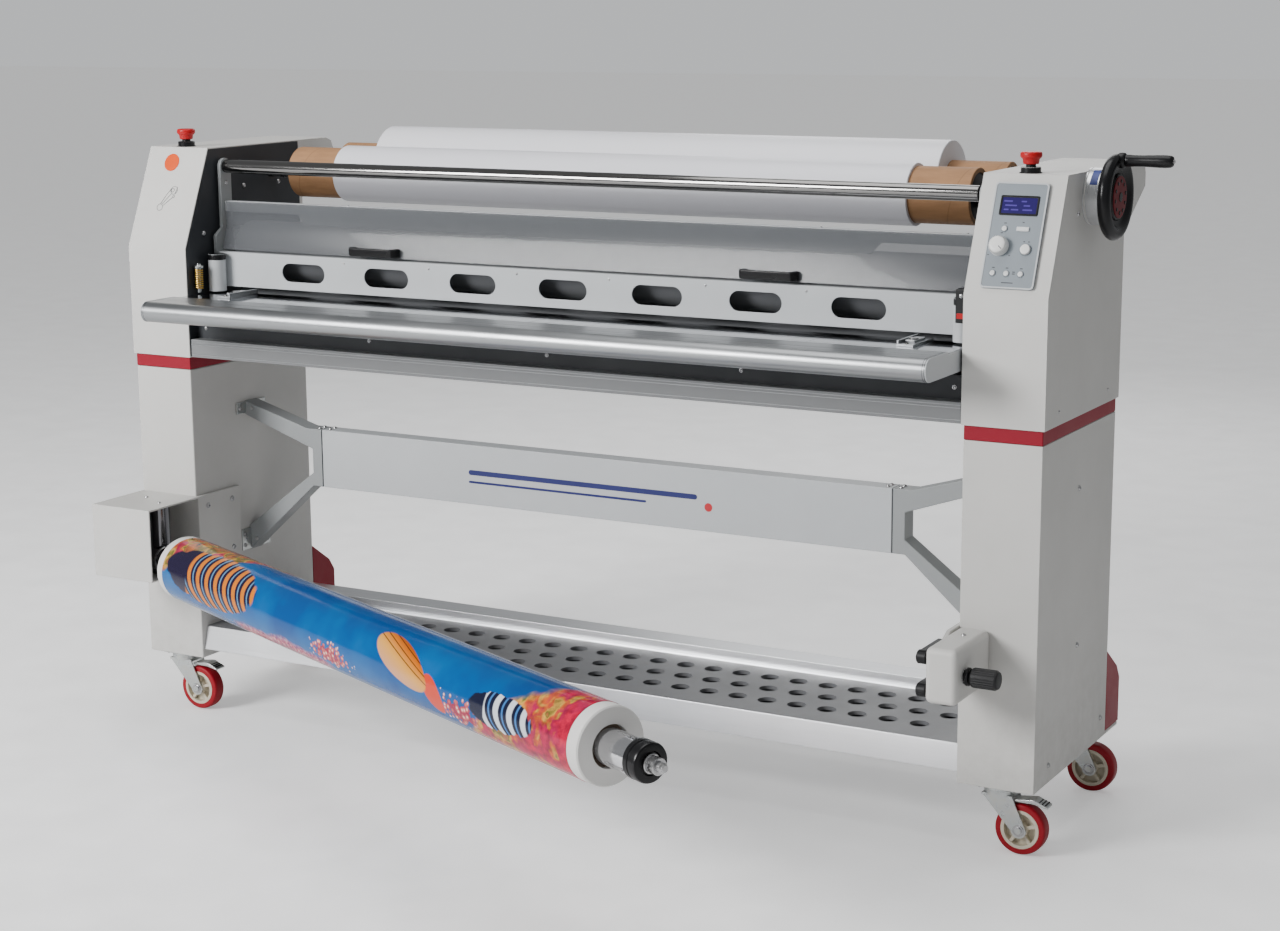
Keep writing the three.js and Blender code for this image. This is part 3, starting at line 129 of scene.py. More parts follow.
# ------------------------------------------------------------------ shader nodes
def add(tree: Tree, kind: str, values: dict[str | int, Value] | None = None, **settings: Value) -> Node:
    """Adds a shader node.

    Args:
        tree: The tree the node goes into.
        kind: The node's type, without the ShaderNode in front.
        values: What each input gets, a plain value or a socket to link from.
        settings: The node's own properties.

    Returns:
        The new node.
    """
    made = tree.nodes.new("ShaderNode" + kind)
    for key, value in settings.items():
        setattr(made, key, value)
    for key, value in (values or {}).items():
        if isinstance(value, Socket):
            tree.links.new(value, made.inputs[key])
        else:
            made.inputs[key].default_value = value
    return made


def sums(tree: Tree, operation: str, *values: Value) -> Socket:
    """One step of arithmetic on numbers or sockets."""
    return add(tree, "Math", dict(enumerate(values)), operation=operation).outputs[0]


def remap(
    tree: Tree, value: Value, low: float, high: float, to_low: float, to_high: float
) -> Socket:
    """A value moved from one range to another, held inside it."""
    values = {0: value, 1: low, 2: high, 3: to_low, 4: to_high}
    return add(tree, "MapRange", values).outputs[0]


def blend(tree: Tree, share: Value, first: Value, second: Value) -> Socket:
    """Two colours mixed by a share from 0 to 1.

    Args:
        tree: The material's tree.
        share: How much of the second.
        first: The first colour or socket.
        second: The second colour or socket.

    Returns:
        The mixed colour.
    """
    first = (*first, 1) if isinstance(first, tuple) else first
    second = (*second, 1) if isinstance(second, tuple) else second
    mix = add(tree, "Mix", {0: share, 6: first, 7: second}, data_type="RGBA")
    return mix.outputs[2]


def noise(
    tree: Tree, vector: Value, scale: Value, detail: float = 2.0, roughness: float = 0.5
) -> Socket:
    """Soft random values over space."""
    values = {"Vector": vector, "Scale": scale, "Detail": detail, "Roughness": roughness}
    return add(tree, "TexNoise", values).outputs[0]


def shade(colour: Colour, share: float) -> Colour:
    """A colour made darker or lighter by a share."""
    return tuple(min(1.0, part * share) for part in colour)


def shader_group(
    name: str, inputs: dict[str, str], outputs: Sequence[str],
    wire: Callable[[Tree, Node], Sequence[Socket]],
) -> Tree:
    """A shader node group, made the first time it is asked for.

    Args:
        name: The group's name.
        inputs: Each input's name and whether it is a Vector or a Float.
        outputs: The names of its number outputs.
        wire: Builds the inside and returns one socket for each output.

    Returns:
        The group's tree.
    """
    found = bpy.data.node_groups.get(name)
    if found:
        return found
    tree = bpy.data.node_groups.new(name, "ShaderNodeTree")
    for label, kind in inputs.items():
        tree.interface.new_socket(name=label, in_out="INPUT", socket_type="NodeSocket" + kind)
    for label in outputs:
        tree.interface.new_socket(name=label, in_out="OUTPUT", socket_type="NodeSocketFloat")
    entry = tree.nodes.new("NodeGroupInput")
    leave = tree.nodes.new("NodeGroupOutput")
    for label, socket in zip(outputs, wire(tree, entry)):
        tree.links.new(socket, leave.inputs[label])
    return tree


def grain_group() -> Tree:
    """A fine even grain and the slow unevenness under it.

    Returns:
        The group's tree.
    """

    def wire(tree: Tree, entry: Node) -> list[Socket]:
        """Two noises, one fine and one slow.

        Args:
            tree: The group's tree.
            entry: The group's input node.

        Returns:
            One socket for each output.
        """
        fine = noise(tree, entry.outputs["Vector"], entry.outputs["Scale"], 3.0, 0.6)
        slow = noise(tree, entry.outputs["Vector"], 7.0, 3.0, 0.6)
        return [fine, slow]

    inputs = {"Vector": "Vector", "Scale": "Float"}
    return shader_group("fine grain", inputs, ["Height", "Tone"], wire)


def brushed_group() -> Tree:
    """Fine lines drawn out along one direction, as rolling, drawing or brushing leaves.

    Returns:
        The group's tree.
    """

    def wire(tree: Tree, entry: Node) -> list[Socket]:
        """Noise squeezed across the lines and stretched along them.

        Args:
            tree: The group's tree.
            entry: The group's input node.

        Returns:
            One socket for each output.
        """
        values = {0: entry.outputs["Vector"], 1: entry.outputs["Stretch"]}
        stretched = add(tree, "VectorMath", values, operation="MULTIPLY").outputs[0]
        fine = noise(tree, stretched, 900.0, 2.0, 0.5)
        broad = noise(tree, stretched, 160.0, 3.0, 0.6)
        return [fine, broad]

    inputs = {"Vector": "Vector", "Stretch": "Vector"}
    return shader_group("brushed lines", inputs, ["Height", "Tone"], wire)


def scuff_group() -> Tree:
    """Thin stray scratches that gather in patches.

    Returns:
        The group's tree.
    """

    def wire(tree: Tree, entry: Node) -> list[Socket]:
        """Narrow bands of a warped noise, kept only inside patches of a slower one.

        Args:
            tree: The group's tree.
            entry: The group's input node.

        Returns:
            One socket for each output.
        """
        lines = noise(tree, entry.outputs["Vector"], entry.outputs["Scale"], 1.0, 0.4)
        away = sums(tree, "ABSOLUTE", sums(tree, "SUBTRACT", lines, 0.5))
        thin = remap(tree, away, 0.0, 0.0035, 1.0, 0.0)
        patch = remap(tree, noise(tree, entry.outputs["Vector"], 11.0, 2.0), 0.56, 0.7, 0.0, 1.0)
        return [sums(tree, "MULTIPLY", thin, patch)]

    inputs = {"Vector": "Vector", "Scale": "Float"}
    return shader_group("stray scuffs", inputs, ["Mask"], wire)


def dust_group() -> Tree:
    """Dust that gathers near the floor and thins out upwards.

    Returns:
        The group's tree.
    """

    def wire(tree: Tree, entry: Node) -> list[Socket]:
        """Height above the floor against the given reach, broken up by noise.

        Args:
            tree: The group's tree.
            entry: The group's input node.

        Returns:
            One socket for each output.
        """
        split = add(tree, "SeparateXYZ", {0: entry.outputs["Vector"]})
        rise = sums(tree, "DIVIDE", split.outputs[2], entry.outputs["Reach"])
        low = remap(tree, rise, 0.0, 1.0, 1.0, 0.0)
        broken = noise(tree, entry.outputs["Vector"], 40.0, 4.0, 0.7)
        return [sums(tree, "MULTIPLY", low, remap(tree, broken, 0.35, 0.75, 0.0, 1.0))]

    inputs = {"Vector": "Vector", "Reach": "Float"}
    return shader_group("settled dust", inputs, ["Mask"], wire)


def rings_group() -> Tree:
    """The edge of wound film: fine rings round an axis along x.

    Returns:
        The group's tree.
    """

    def wire(tree: Tree, entry: Node) -> list[Socket]:
        """Noise read along the radius only.

        Args:
            tree: The group's tree.
            entry: The group's input node.

        Returns:
            One socket for each output.
        """
        split = add(tree, "SeparateXYZ", {0: entry.outputs["Vector"]})
        radius = sums(
            tree,
            "SQRT",
            sums(
                tree, "ADD", sums(tree, "MULTIPLY", split.outputs[1], split.outputs[1]),
                sums(tree, "MULTIPLY", split.outputs[2], split.outputs[2]),
            ),
        )
        line = add(tree, "CombineXYZ", {0: radius}).outputs[0]
        return [noise(tree, line, 1400.0, 2.0, 0.7), radius]

    return shader_group("wound rings", {"Vector": "Vector"}, ["Rings", "Radius"], wire)


def use(
    tree: Tree, group: Tree, **values: Value
) -> bpy.types.bpy_prop_collection:
    """Places a group in a material with its own values and returns its outputs.

    Args:
        tree: The material's tree.
        group: The node group.
        values: What each input gets.

    Returns:
        The group's outputs.
    """
    made = tree.nodes.new("ShaderNodeGroup")
    made.node_tree = group
    for key, value in values.items():
        if isinstance(value, Socket):
            tree.links.new(value, made.inputs[key])
        else:
            made.inputs[key].default_value = value
    return made.outputs


def bump(tree: Tree, height: Value, strength: float, distance: float) -> Socket:
    """A small relief from a height, with its depth in metres."""
    values = {"Strength": strength, "Distance": distance, "Height": height}
    return add(tree, "Bump", values).outputs[0]


# ------------------------------------------------------------------ finishes
@dataclass(frozen=True)
class Finish:
    """A surface finish: its name, a slot name, its colour and how rough it is."""

    name: str
    slot: str
    colour: Colour
    roughness: float = 0.5
    shine: float = field(default=0.5, kw_only=True)

    def material(self) -> bpy.types.Material:
        """The finish's material, made the first time it is asked for.

        Returns:
            The material.
        """
        found = bpy.data.materials.get(self.name)
        if found:
            return found
        made = bpy.data.materials.new(self.name)
        made.use_nodes = True
        tree = made.node_tree
        tree.nodes.clear()
        shader = add(tree, "BsdfPrincipled")
        shader.inputs["Base Color"].default_value = (*self.colour, 1)
        shader.inputs["Roughness"].default_value = self.roughness
        shader.inputs["Specular IOR Level"].default_value = self.shine
        add(tree, "OutputMaterial", {"Surface": shader.outputs[0]})
        place = add(tree, "TexCoord").outputs["Object"]
        self.dress(tree, shader, place)
        return made

    def dress(self, tree: Tree, shader: Node, place: Socket) -> None:
        """Adds what this kind of surface shows.

        Args:
            tree: The material's tree.
            shader: Its Principled shader.
            place: The object coordinates.
        """
        raise NotImplementedError

    @staticmethod
    def link(tree: Tree, shader: Node, **sockets: Value) -> None:
        """Links sockets to the shader's inputs, with spaces for underscores."""
        for key, socket in sockets.items():
            tree.links.new(socket, shader.inputs[key.replace("_", " ")])


@dataclass(frozen=True)
class PowderCoat(Finish):
    """Baked powder paint on sheet metal, with orange peel, stray scuffs and dust low down."""

    peel: float = 0.12
    dust: float = 0.35

    def dress(self, tree: Tree, shader: Node, place: Socket) -> None:
        """Uneven tone, scuffs, dust and orange peel.

        Args:
            tree: The material's tree.
            shader: Its Principled shader.
            place: The object coordinates.
        """
        grain = use(tree, grain_group(), Vector=place, Scale=620.0)
        scuffs = use(tree, scuff_group(), Vector=place, Scale=16.0)["Mask"]
        dust = use(tree, dust_group(), Vector=place, Reach=0.42)["Mask"]
        tone = remap(tree, grain["Tone"], 0.3, 0.7, 0.0, 1.0)
        base = blend(tree, tone, self.colour, shade(self.colour, 0.95))
        scraped = blend(tree, sums(tree, "MULTIPLY", scuffs, 0.10), base, shade(self.colour, 1.5))
        dusty = blend(tree, sums(tree, "MULTIPLY", dust, self.dust), scraped, (0.33, 0.31, 0.28))
        rough = sums(
            tree, "ADD",
            remap(tree, grain["Tone"], 0.3, 0.7, self.roughness - 0.04, self.roughness + 0.05),
            sums(tree, "MULTIPLY", dust, 0.2),
        )
        relief = bump(tree, grain["Height"], self.peel, 0.0004)
        self.link(tree, shader, Base_Color=dusty, Roughness=rough, Normal=relief)


@dataclass(frozen=True)
class BareMetal(Finish):
    """Metal with drawn or brushed lines along one direction."""

    stretch: tuple[float, float, float] = (0.02, 1.0, 1.0)
    lines: float = 0.05
    spread: float = 0.06

    def dress(self, tree: Tree, shader: Node, place: Socket) -> None:
        """Lines in tone, roughness and relief, with a few handling marks.

        Args:
            tree: The material's tree.
            shader: Its Principled shader.
            place: The object coordinates.
        """
        shader.inputs["Metallic"].default_value = 1.0
        lines = use(tree, brushed_group(), Vector=place, Stretch=self.stretch)
        grain = use(tree, grain_group(), Vector=place, Scale=300.0)
        scuffs = use(tree, scuff_group(), Vector=place, Scale=24.0)["Mask"]
        tone = remap(tree, lines["Tone"], 0.3, 0.7, 0.0, 1.0)
        base = blend(tree, tone, self.colour, shade(self.colour, 0.94))
        marked = blend(tree, sums(tree, "MULTIPLY", scuffs, 0.08), base, shade(self.colour, 1.15))
        low, high = self.roughness - self.spread, self.roughness + self.spread
        rough = sums(
            tree, "ADD", remap(tree, lines["Tone"], 0.3, 0.7, low, high),
            remap(tree, grain["Tone"], 0.4, 0.7, 0.0, self.spread),
        )
        relief = bump(tree, lines["Height"], self.lines, 0.0002)
        self.link(tree, shader, Base_Color=marked, Roughness=rough, Normal=relief)


@dataclass(frozen=True)
class Plated(Finish):
    """Zinc or nickel plate: mottled, with a slightly warm bloom in places."""

    bloom: Colour = (0.62, 0.58, 0.46)

    def dress(self, tree: Tree, shader: Node, place: Socket) -> None:
        """Mottling in colour and roughness.

        Args:
            tree: The material's tree.
            shader: Its Principled shader.
            place: The object coordinates.
        """
        shader.inputs["Metallic"].default_value = 1.0
        grain = use(tree, grain_group(), Vector=place, Scale=420.0)
        patches = noise(tree, place, 75.0, 3.0, 0.6)
        base = blend(tree, remap(tree, patches, 0.45, 0.75, 0.0, 0.35), self.colour, self.bloom)
        low, high = self.roughness - 0.07, self.roughness + 0.12
        rough = remap(tree, patches, 0.3, 0.7, low, high)
        relief = bump(tree, grain["Height"], 0.06, 0.0003)
        self.link(tree, shader, Base_Color=base, Roughness=rough, Normal=relief)


@dataclass(frozen=True)
class Moulding(Finish):
    """Moulded plastic or rubber with a fine surface and faint wear."""

    texture: float = 0.1
    scale: float = 800.0
    worn: float = 1.35

    def dress(self, tree: Tree, shader: Node, place: Socket) -> None:
        """Slow tone, scuffs and a fine relief.

        Args:
            tree: The material's tree.
            shader: Its Principled shader.
            place: The object coordinates.
        """
        grain = use(tree, grain_group(), Vector=place, Scale=self.scale)
        scuffs = use(tree, scuff_group(), Vector=place, Scale=30.0)["Mask"]
        tone = remap(tree, grain["Tone"], 0.3, 0.7, 0.0, 1.0)
        base = blend(tree, tone, self.colour, shade(self.colour, 0.88))
        marked = blend(tree, sums(tree, "MULTIPLY", scuffs, 0.3), base, shade(self.colour, self.worn))
        low, high = self.roughness - 0.03, self.roughness + 0.06
        rough = remap(tree, grain["Tone"], 0.3, 0.7, low, high)
        relief = bump(tree, grain["Height"], self.texture, 0.0003)
        self.link(tree, shader, Base_Color=marked, Roughness=rough, Normal=relief)


@dataclass(frozen=True)
class WoundFilm(Finish):
    """Film or paper wound on a core along x: rings on its ends, faint bands along its length."""

    centre: tuple[float, float, float] = (0.0, 0.0, 0.0)
    turn: float = 0.0
    edge: Colour = (0.62, 0.61, 0.6)

    def dress(self, tree: Tree, shader: Node, place: Socket) -> None:
        """Rings by radius and soft bands along the roll.

        Args:
            tree: The material's tree.
            shader: Its Principled shader.
            place: The object coordinates.
        """
        values = {0: place, "Location": self.centre, "Rotation": (0.0, 0.0, self.turn)}
        local = add(tree, "Mapping", values, vector_type="TEXTURE").outputs[0]
        rings = use(tree, rings_group(), Vector=local)
        bands = use(tree, brushed_group(), Vector=local, Stretch=(0.05, 0.004, 0.004))
        line = remap(tree, rings["Rings"], 0.42, 0.68, 0.0, 0.55)
        base = blend(tree, line, self.colour, self.edge)
        soft = blend(tree, remap(tree, bands["Tone"], 0.35, 0.7, 0.0, 0.25), base, shade(self.colour, 0.9))
        low, high = self.roughness - 0.04, self.roughness + 0.06
        rough = remap(tree, bands["Tone"], 0.3, 0.7, low, high)
        relief = bump(tree, rings["Rings"], 0.12, 0.0004)
        self.link(tree, shader, Base_Color=soft, Roughness=rough, Normal=relief)


@dataclass(frozen=True)
class KraftTube(Finish):
    """A spirally wound cardboard tube along x, with a seam line and short fibres."""

    centre: tuple[float, float, float] = (0.0, 0.0, 0.0)

    def dress(self, tree: Tree, shader: Node, place: Socket) -> None:
        """A spiral seam from the angle round the axis and the way along it, and fibres.

        Args:
            tree: The material's tree.
            shader: Its Principled shader.
            place: The object coordinates.
        """
        local = add(
            tree, "Mapping", {0: place, "Location": self.centre}, vector_type="TEXTURE"
        ).outputs[0]
        split = add(tree, "SeparateXYZ", {0: local})
        angle = sums(tree, "ARCTAN2", split.outputs[2], split.outputs[1])
        turns = sums(tree, "DIVIDE", angle, FULL_TURN)
        along = sums(tree, "MULTIPLY", split.outputs[0], 9.0)
        phase = sums(tree, "FRACT", sums(tree, "ADD", turns, along))
        seam = remap(tree, sums(tree, "ABSOLUTE", sums(tree, "SUBTRACT", phase, 0.5)), 0.0, 0.02, 1.0, 0.0)
        fibres = use(tree, brushed_group(), Vector=local, Stretch=(0.12, 0.5, 0.5))
        grain = use(tree, grain_group(), Vector=local, Scale=260.0)
        base = blend(
            tree, remap(tree, fibres["Tone"], 0.3, 0.7, 0.0, 1.0), self.colour, shade(self.colour, 0.78),
        )
        lined = blend(tree, sums(tree, "MULTIPLY", seam, 0.55), base, shade(self.colour, 0.5))
        height = sums(tree, "SUBTRACT", grain["Height"], sums(tree, "MULTIPLY", seam, 0.8))
        self.link(tree, shader, Base_Color=lined, Normal=bump(tree, height, 0.25, 0.0006))


@dataclass(frozen=True)
class PrintedFilm(Finish):
    """A glossy abstract print in reef colours, laid out by the way along the roll and round it."""

    centre: tuple[float, float, float] = (0.0, 0.0, 0.0)
    turn: float = 0.0
    radius: float = 0.07

    def dress(self, tree: Tree, shader: Node, place: Socket) -> None:
        """Lays the motifs one over another on deep blue, with painted shade towards the roll's top.

        Args:
            tree: The material's tree.
            shader: Its Principled shader.
            place: The object coordinates.
        """
        shader.inputs["Coat Weight"].default_value = 0.05
        shader.inputs["Coat Roughness"].default_value = 0.08
        values = {0: place, "Location": self.centre, "Rotation": (0.0, 0.0, self.turn)}
        local = add(tree, "Mapping", values, vector_type="TEXTURE").outputs[0]
        split = add(tree, "SeparateXYZ", {0: local})
        around = sums(tree, "ARCTAN2", split.outputs[2], sums(tree, "MULTIPLY", split.outputs[1], -1.0))
        rise = sums(tree, "MULTIPLY", around, self.radius)
        flat = add(tree, "CombineXYZ", {0: split.outputs[0], 1: rise}).outputs[0]
        drift = add(tree, "TexNoise", {"Vector": local, "Scale": 26.0, "Detail": 3.0}).outputs[1]
        warped = add(
            tree, "VectorMath", {0: drift, 1: (0.045, 0.045, 0.0), 2: flat}, operation="MULTIPLY_ADD"
        ).outputs[0]
        wander = noise(tree, local, 7.0, 3.0, 0.55)
        base = blend(tree, remap(tree, wander, 0.35, 0.7, 0.0, 1.0), (0.0, 0.06, 0.24), (0.0, 0.12, 0.36))
        # Painted shade: the blue ground darkens towards a deeper blue going round the roll towards its top.
        base = blend(tree, remap(tree, rise, 0.02, 0.12, 0.0, 0.5), base, (0.0, 0.03, 0.13))
        base = self.haze(tree, split.outputs[0], rise, wander, local, base)
        base = self.coral(tree, warped, local, base)
        base = self.leaf(tree, flat, base)
        base = self.ground(tree, split.outputs[0], rise, wander, warped, local, base)
        base = self.banded(tree, warped, flat, (0.36, 0.032), (0.20, 0.062), 5.0, (0.012, 0.008, 0.03),
                           ((0.62, 0.17, 0.01), (0.10, 0.24, 0.42)), base)
        base = self.banded(tree, warped, flat, (1.46, 0.012), (0.10, 0.034), 2.4, (0.008, 0.01, 0.03),
                           ((0.62, 0.66, 0.72), (0.04, 0.16, 0.42)), base)
        sheen = remap(tree, noise(tree, local, 22.0, 2.0), 0.3, 0.7, 0.10, 0.18)
        self.link(tree, shader, Base_Color=base, Roughness=sheen)

    def ramp(
        self, tree: Tree, value: Value, stops: Sequence[tuple[float, Colour]]
    ) -> Socket:
        """A colour picked from stops by a value.

        Args:
            tree: The material's tree.
            value: The number that picks.
            stops: Positions and their colours.

        Returns:
            The colour.
        """
        made = add(tree, "ValToRGB", {0: value})
        band = made.color_ramp
        while len(band.elements) < len(stops):
            band.elements.new(0.5)
        for element, (position, colour) in zip(band.elements, stops):
            element.position = position
            element.color = (*colour, 1)
        return made.outputs[0]

    def oval_field(
        self, tree: Tree, flat: Value, centre: Point, half: Point, tilt: float = 0.0
    ) -> tuple[Socket, Socket]:
        """A turned oval's own coordinates.

        Args:
            tree: The material's tree.
            flat: The place on the unrolled print.
            centre: The oval's middle.
            half: Half its length and half its height.
            tilt: How far it is turned.

        Returns:
            The place inside it, and the distance from its middle, 1 on its edge.
        """
        values = {0: flat, "Location": (*centre, 0.0), "Rotation": (0.0, 0.0, tilt), "Scale": (*half, 1.0)}
        inside = add(tree, "Mapping", values, vector_type="TEXTURE").outputs[0]
        return inside, add(tree, "VectorMath", {0: inside}, operation="LENGTH").outputs["Value"]

    def haze(
        self, tree: Tree, along: Value, rise: Value, wander: Value, local: Value, under: Value
    ) -> Socket:
        """A low drift of pink fronds after the first striped oval.

        Args:
            tree: The material's tree.
            along: The way along the roll.
            rise: The way round the roll, up from the front.
            wander: A slow noise.
            local: The place in the roll's own frame.
            under: The colour it lies on.

        Returns:
            The colour with the fronds on it.
        """
        fronds = noise(tree, local, 120.0, 3.0, 0.6)
        pink = self.ramp(
            tree, fronds,
            [(0.35, (0.16, 0.01, 0.10)), (0.5, (0.52, 0.08, 0.14)), (0.65, (0.70, 0.40, 0.42))],
        )
        low = remap(
            tree, sums(tree, "ADD", rise, sums(tree, "MULTIPLY", wander, 0.05)), -0.012, 0.0, 1.0, 0.0,
        )
        span = remap(tree, sums(tree, "ABSOLUTE", sums(tree, "SUBTRACT", along, 0.66)), 0.17, 0.21, 1.0, 0.0)
        return blend(tree, sums(tree, "MULTIPLY", low, span), under, pink)

    def coral(
        self, tree: Tree, warped: Value, local: Value, under: Value
    ) -> Socket:
        """Two frilled coral heads with pale tips.

        Args:
            tree: The material's tree.
            warped: The unrolled place, with a small drift.
            local: The place in the roll's own frame.
            under: The colour it lies on.

        Returns:
            The colour with the coral on it.
        """
        cells = add(tree, "TexVoronoi", {"Vector": local, "Scale": 95.0}, feature="F1").outputs["Distance"]
        stops = [(0.12, (0.80, 0.66, 0.60)), (0.3, (0.62, 0.14, 0.12)), (0.6, (0.30, 0.012, 0.05))]
        head = self.ramp(tree, cells, stops)
        for centre, half in (((0.895, 0.006), (0.10, 0.03)), ((1.36, 0.004), (0.09, 0.036))):
            _, away = self.oval_field(tree, warped, centre, half, -0.12)
            edge = remap(
                tree, sums(tree, "ADD", away, sums(tree, "MULTIPLY", cells, 0.9)), 1.0, 1.08, 1.0, 0.0,
            )
            under = blend(tree, edge, under, head)
        return under

    def leaf(self, tree: Tree, flat: Value, under: Value) -> Socket:
        """A slanting golden leaf shape with dark veins and a red point.

        Args:
            tree: The material's tree.
            flat: The unrolled place.
            under: The colour it lies on.

        Returns:
            The colour with the leaf on it.
        """
        tip, far = self.oval_field(tree, flat, (1.245, -0.004), (0.045, 0.022), -0.7)
        under = blend(tree, remap(tree, far, 0.92, 1.0, 1.0, 0.0), under, (0.62, 0.045, 0.02))
        inside, away = self.oval_field(tree, flat, (1.125, 0.032), (0.105, 0.034), -0.3)
        height = add(tree, "SeparateXYZ", {0: inside}).outputs[1]
        gold = self.ramp(
            tree,
            remap(tree, height, -1.0, 1.0, 0.0, 1.0),
            [
                (0.0, (0.60, 0.30, 0.20)), (0.45, (0.70, 0.33, 0.06)), (0.8, (0.55, 0.13, 0.0)),
                (1.0, (0.30, 0.05, 0.0)),
            ],
        )
        phase = sums(tree, "FRACT", sums(tree, "MULTIPLY", height, 3.2))
        vein = remap(tree, sums(tree, "ABSOLUTE", sums(tree, "SUBTRACT", phase, 0.5)), 0.06, 0.13, 0.85, 0.0)
        upper = remap(tree, height, -0.1, 0.1, 0.0, 1.0)
        veined = blend(tree, sums(tree, "MULTIPLY", vein, upper), gold, (0.035, 0.012, 0.005))
        return blend(tree, remap(tree, away, 0.95, 1.0, 1.0, 0.0), under, veined)

    def ground(
        self, tree: Tree, along: Value, rise: Value, wander: Value, warped: Value, local: Value, under: Value
    ) -> Socket:
        """A busy ground of red, gold, olive and magenta at both ends of the roll.

        Args:
            tree: The material's tree.
            along: The way along the roll.
            rise: The way round the roll, up from the front.
            wander: A slow noise.
            warped: The unrolled place, with a small drift.
            local: The place in the roll's own frame.
            under: The colour it lies on.

        Returns:
            The colour with the busy ends on it.
        """
        broad = add(tree, "TexVoronoi", {"Vector": warped, "Scale": 26.0}, feature="SMOOTH_F1")
        fine = add(tree, "TexVoronoi", {"Vector": warped, "Scale": 75.0}, feature="SMOOTH_F1")
        picks = [
            add(tree, "SeparateColor", {0: cells.outputs["Color"]}).outputs[0] for cells in (broad, fine)
        ]
        mixed = sums(
            tree, "ADD", sums(tree, "MULTIPLY", picks[0], 0.65), sums(tree, "MULTIPLY", picks[1], 0.35),
        )
        reddening = remap(tree, along, 1.50, 1.64, 0.0, 0.35)
        colours = self.ramp(
            tree,
            sums(tree, "SUBTRACT", mixed, reddening),
            [(0.0, (0.62, 0.004, 0.05)), (0.24, (0.42, 0.01, 0.07)), (0.36, (0.60, 0.10, 0.02)), (
                0.46, (0.64, 0.36, 0.06),
            ),
             (0.56, (0.12, 0.14, 0.02)), (0.66, (0.58, 0.16, 0.05)), (0.80, (0.02, 0.03, 0.02))],
        )
        deep = remap(tree, noise(tree, local, 60.0, 4.0, 0.65), 0.35, 0.6, 0.55, 0.0)
        dappled = blend(tree, deep, colours, (0.03, 0.01, 0.015))
        push = sums(tree, "ADD", along, sums(tree, "MULTIPLY", wander, 0.22))
        right = remap(
            tree, sums(tree, "SUBTRACT", push, sums(tree, "MULTIPLY", rise, 1.4)), 1.50, 1.53, 0.0, 1.0,
        )
        left = remap(
            tree, sums(tree, "SUBTRACT", push, sums(tree, "MULTIPLY", rise, 3.0)), 0.24, 0.26, 1.0, 0.0,
        )
        return blend(tree, sums(tree, "MAXIMUM", right, left), under, dappled)

    def banded(
        self, tree: Tree, warped: Value, flat: Value, centre: Point, half: Point, turns: float,
        dark: Colour, bands: tuple[Colour, Colour], under: Value,
    ) -> Socket:
        """A dark oval with curved bright bands.

        Args:
            tree: The material's tree.
            warped: The unrolled place with its small drift, for the edge.
            flat: The unrolled place, for the bands.
            centre: The oval's middle.
            half: Half its length and half its height.
            turns: Bands in half its length.
            dark: Its ground colour.
            bands: The wide and the narrow bands' colours.
            under: What it lies on.

        Returns:
            The colour with the oval laid on it.
        """
        inside, away = self.oval_field(tree, flat, centre, half)
        split = add(tree, "SeparateXYZ", {0: inside})
        bend = sums(tree, "MULTIPLY", sums(tree, "MULTIPLY", split.outputs[1], split.outputs[1]), 0.16)
        slant = sums(tree, "MULTIPLY", split.outputs[1], 0.10)
        lean = sums(tree, "SUBTRACT", sums(tree, "ADD", split.outputs[0], slant), bend)
        phase = sums(tree, "FRACT", sums(tree, "MULTIPLY", lean, turns))
        stops = [(0.0, dark), (0.12, dark), (0.16, bands[1]), (0.24, bands[1]), (0.28, dark), (0.50, dark), (
            0.56, bands[0],
        ),
                 (0.88, bands[0]), (0.94, dark)]
        banding = self.ramp(tree, phase, stops)
        start = remap(tree, split.outputs[0], -0.52, -0.48, 0.0, 1.0)
        body = blend(tree, start, dark, banding)
        wide = add(tree, "Mapping", {0: warped, "Location": (-0.0225, -0.0225, 0.0)}).outputs[0]
        _, edge = self.oval_field(tree, wide, centre, half)
        rim = remap(tree, sums(tree, "MAXIMUM", away, edge), 0.97, 1.02, 1.0, 0.0)
        return blend(tree, rim, under, body)


@dataclass(frozen=True)
class ClearSheet(Finish):
    """Bent clear plastic with a cool grey tint, fine handling scratches and painted reflection streaks."""

    tint: float = 0.42

    def dress(self, tree: Tree, shader: Node, place: Socket) -> None:
        """Painted reflection: lighter, more opaque streaks along the sheet, and glossier between them.

        Args:
            tree: The material's tree.
            shader: Its Principled shader.
            place: The object coordinates.
        """
        shader.inputs["IOR"].default_value = 1.58
        shader.inputs["Coat Weight"].default_value = 0.1
        shader.inputs["Coat Roughness"].default_value = 0.04
        lines = use(tree, brushed_group(), Vector=place, Stretch=(0.006, 0.05, 0.05))
        scuffs = use(tree, scuff_group(), Vector=place, Scale=18.0)["Mask"]
        # Painted reflection: light grey streaks along the sheet, which also make it more opaque.
        reflection_streaks = remap(tree, lines["Tone"], 0.3, 0.75, 0.0, 0.16)
        alpha = sums(tree, "ADD", reflection_streaks, sums(tree, "ADD", self.tint, sums(tree, "MULTIPLY", scuffs, 0.2)))
        base = blend(tree, reflection_streaks, self.colour, (0.45, 0.47, 0.49))
        rough = remap(tree, lines["Tone"], 0.3, 0.7, self.roughness, self.roughness + 0.08)
        self.link(tree, shader, Base_Color=base, Alpha=alpha, Roughness=rough)


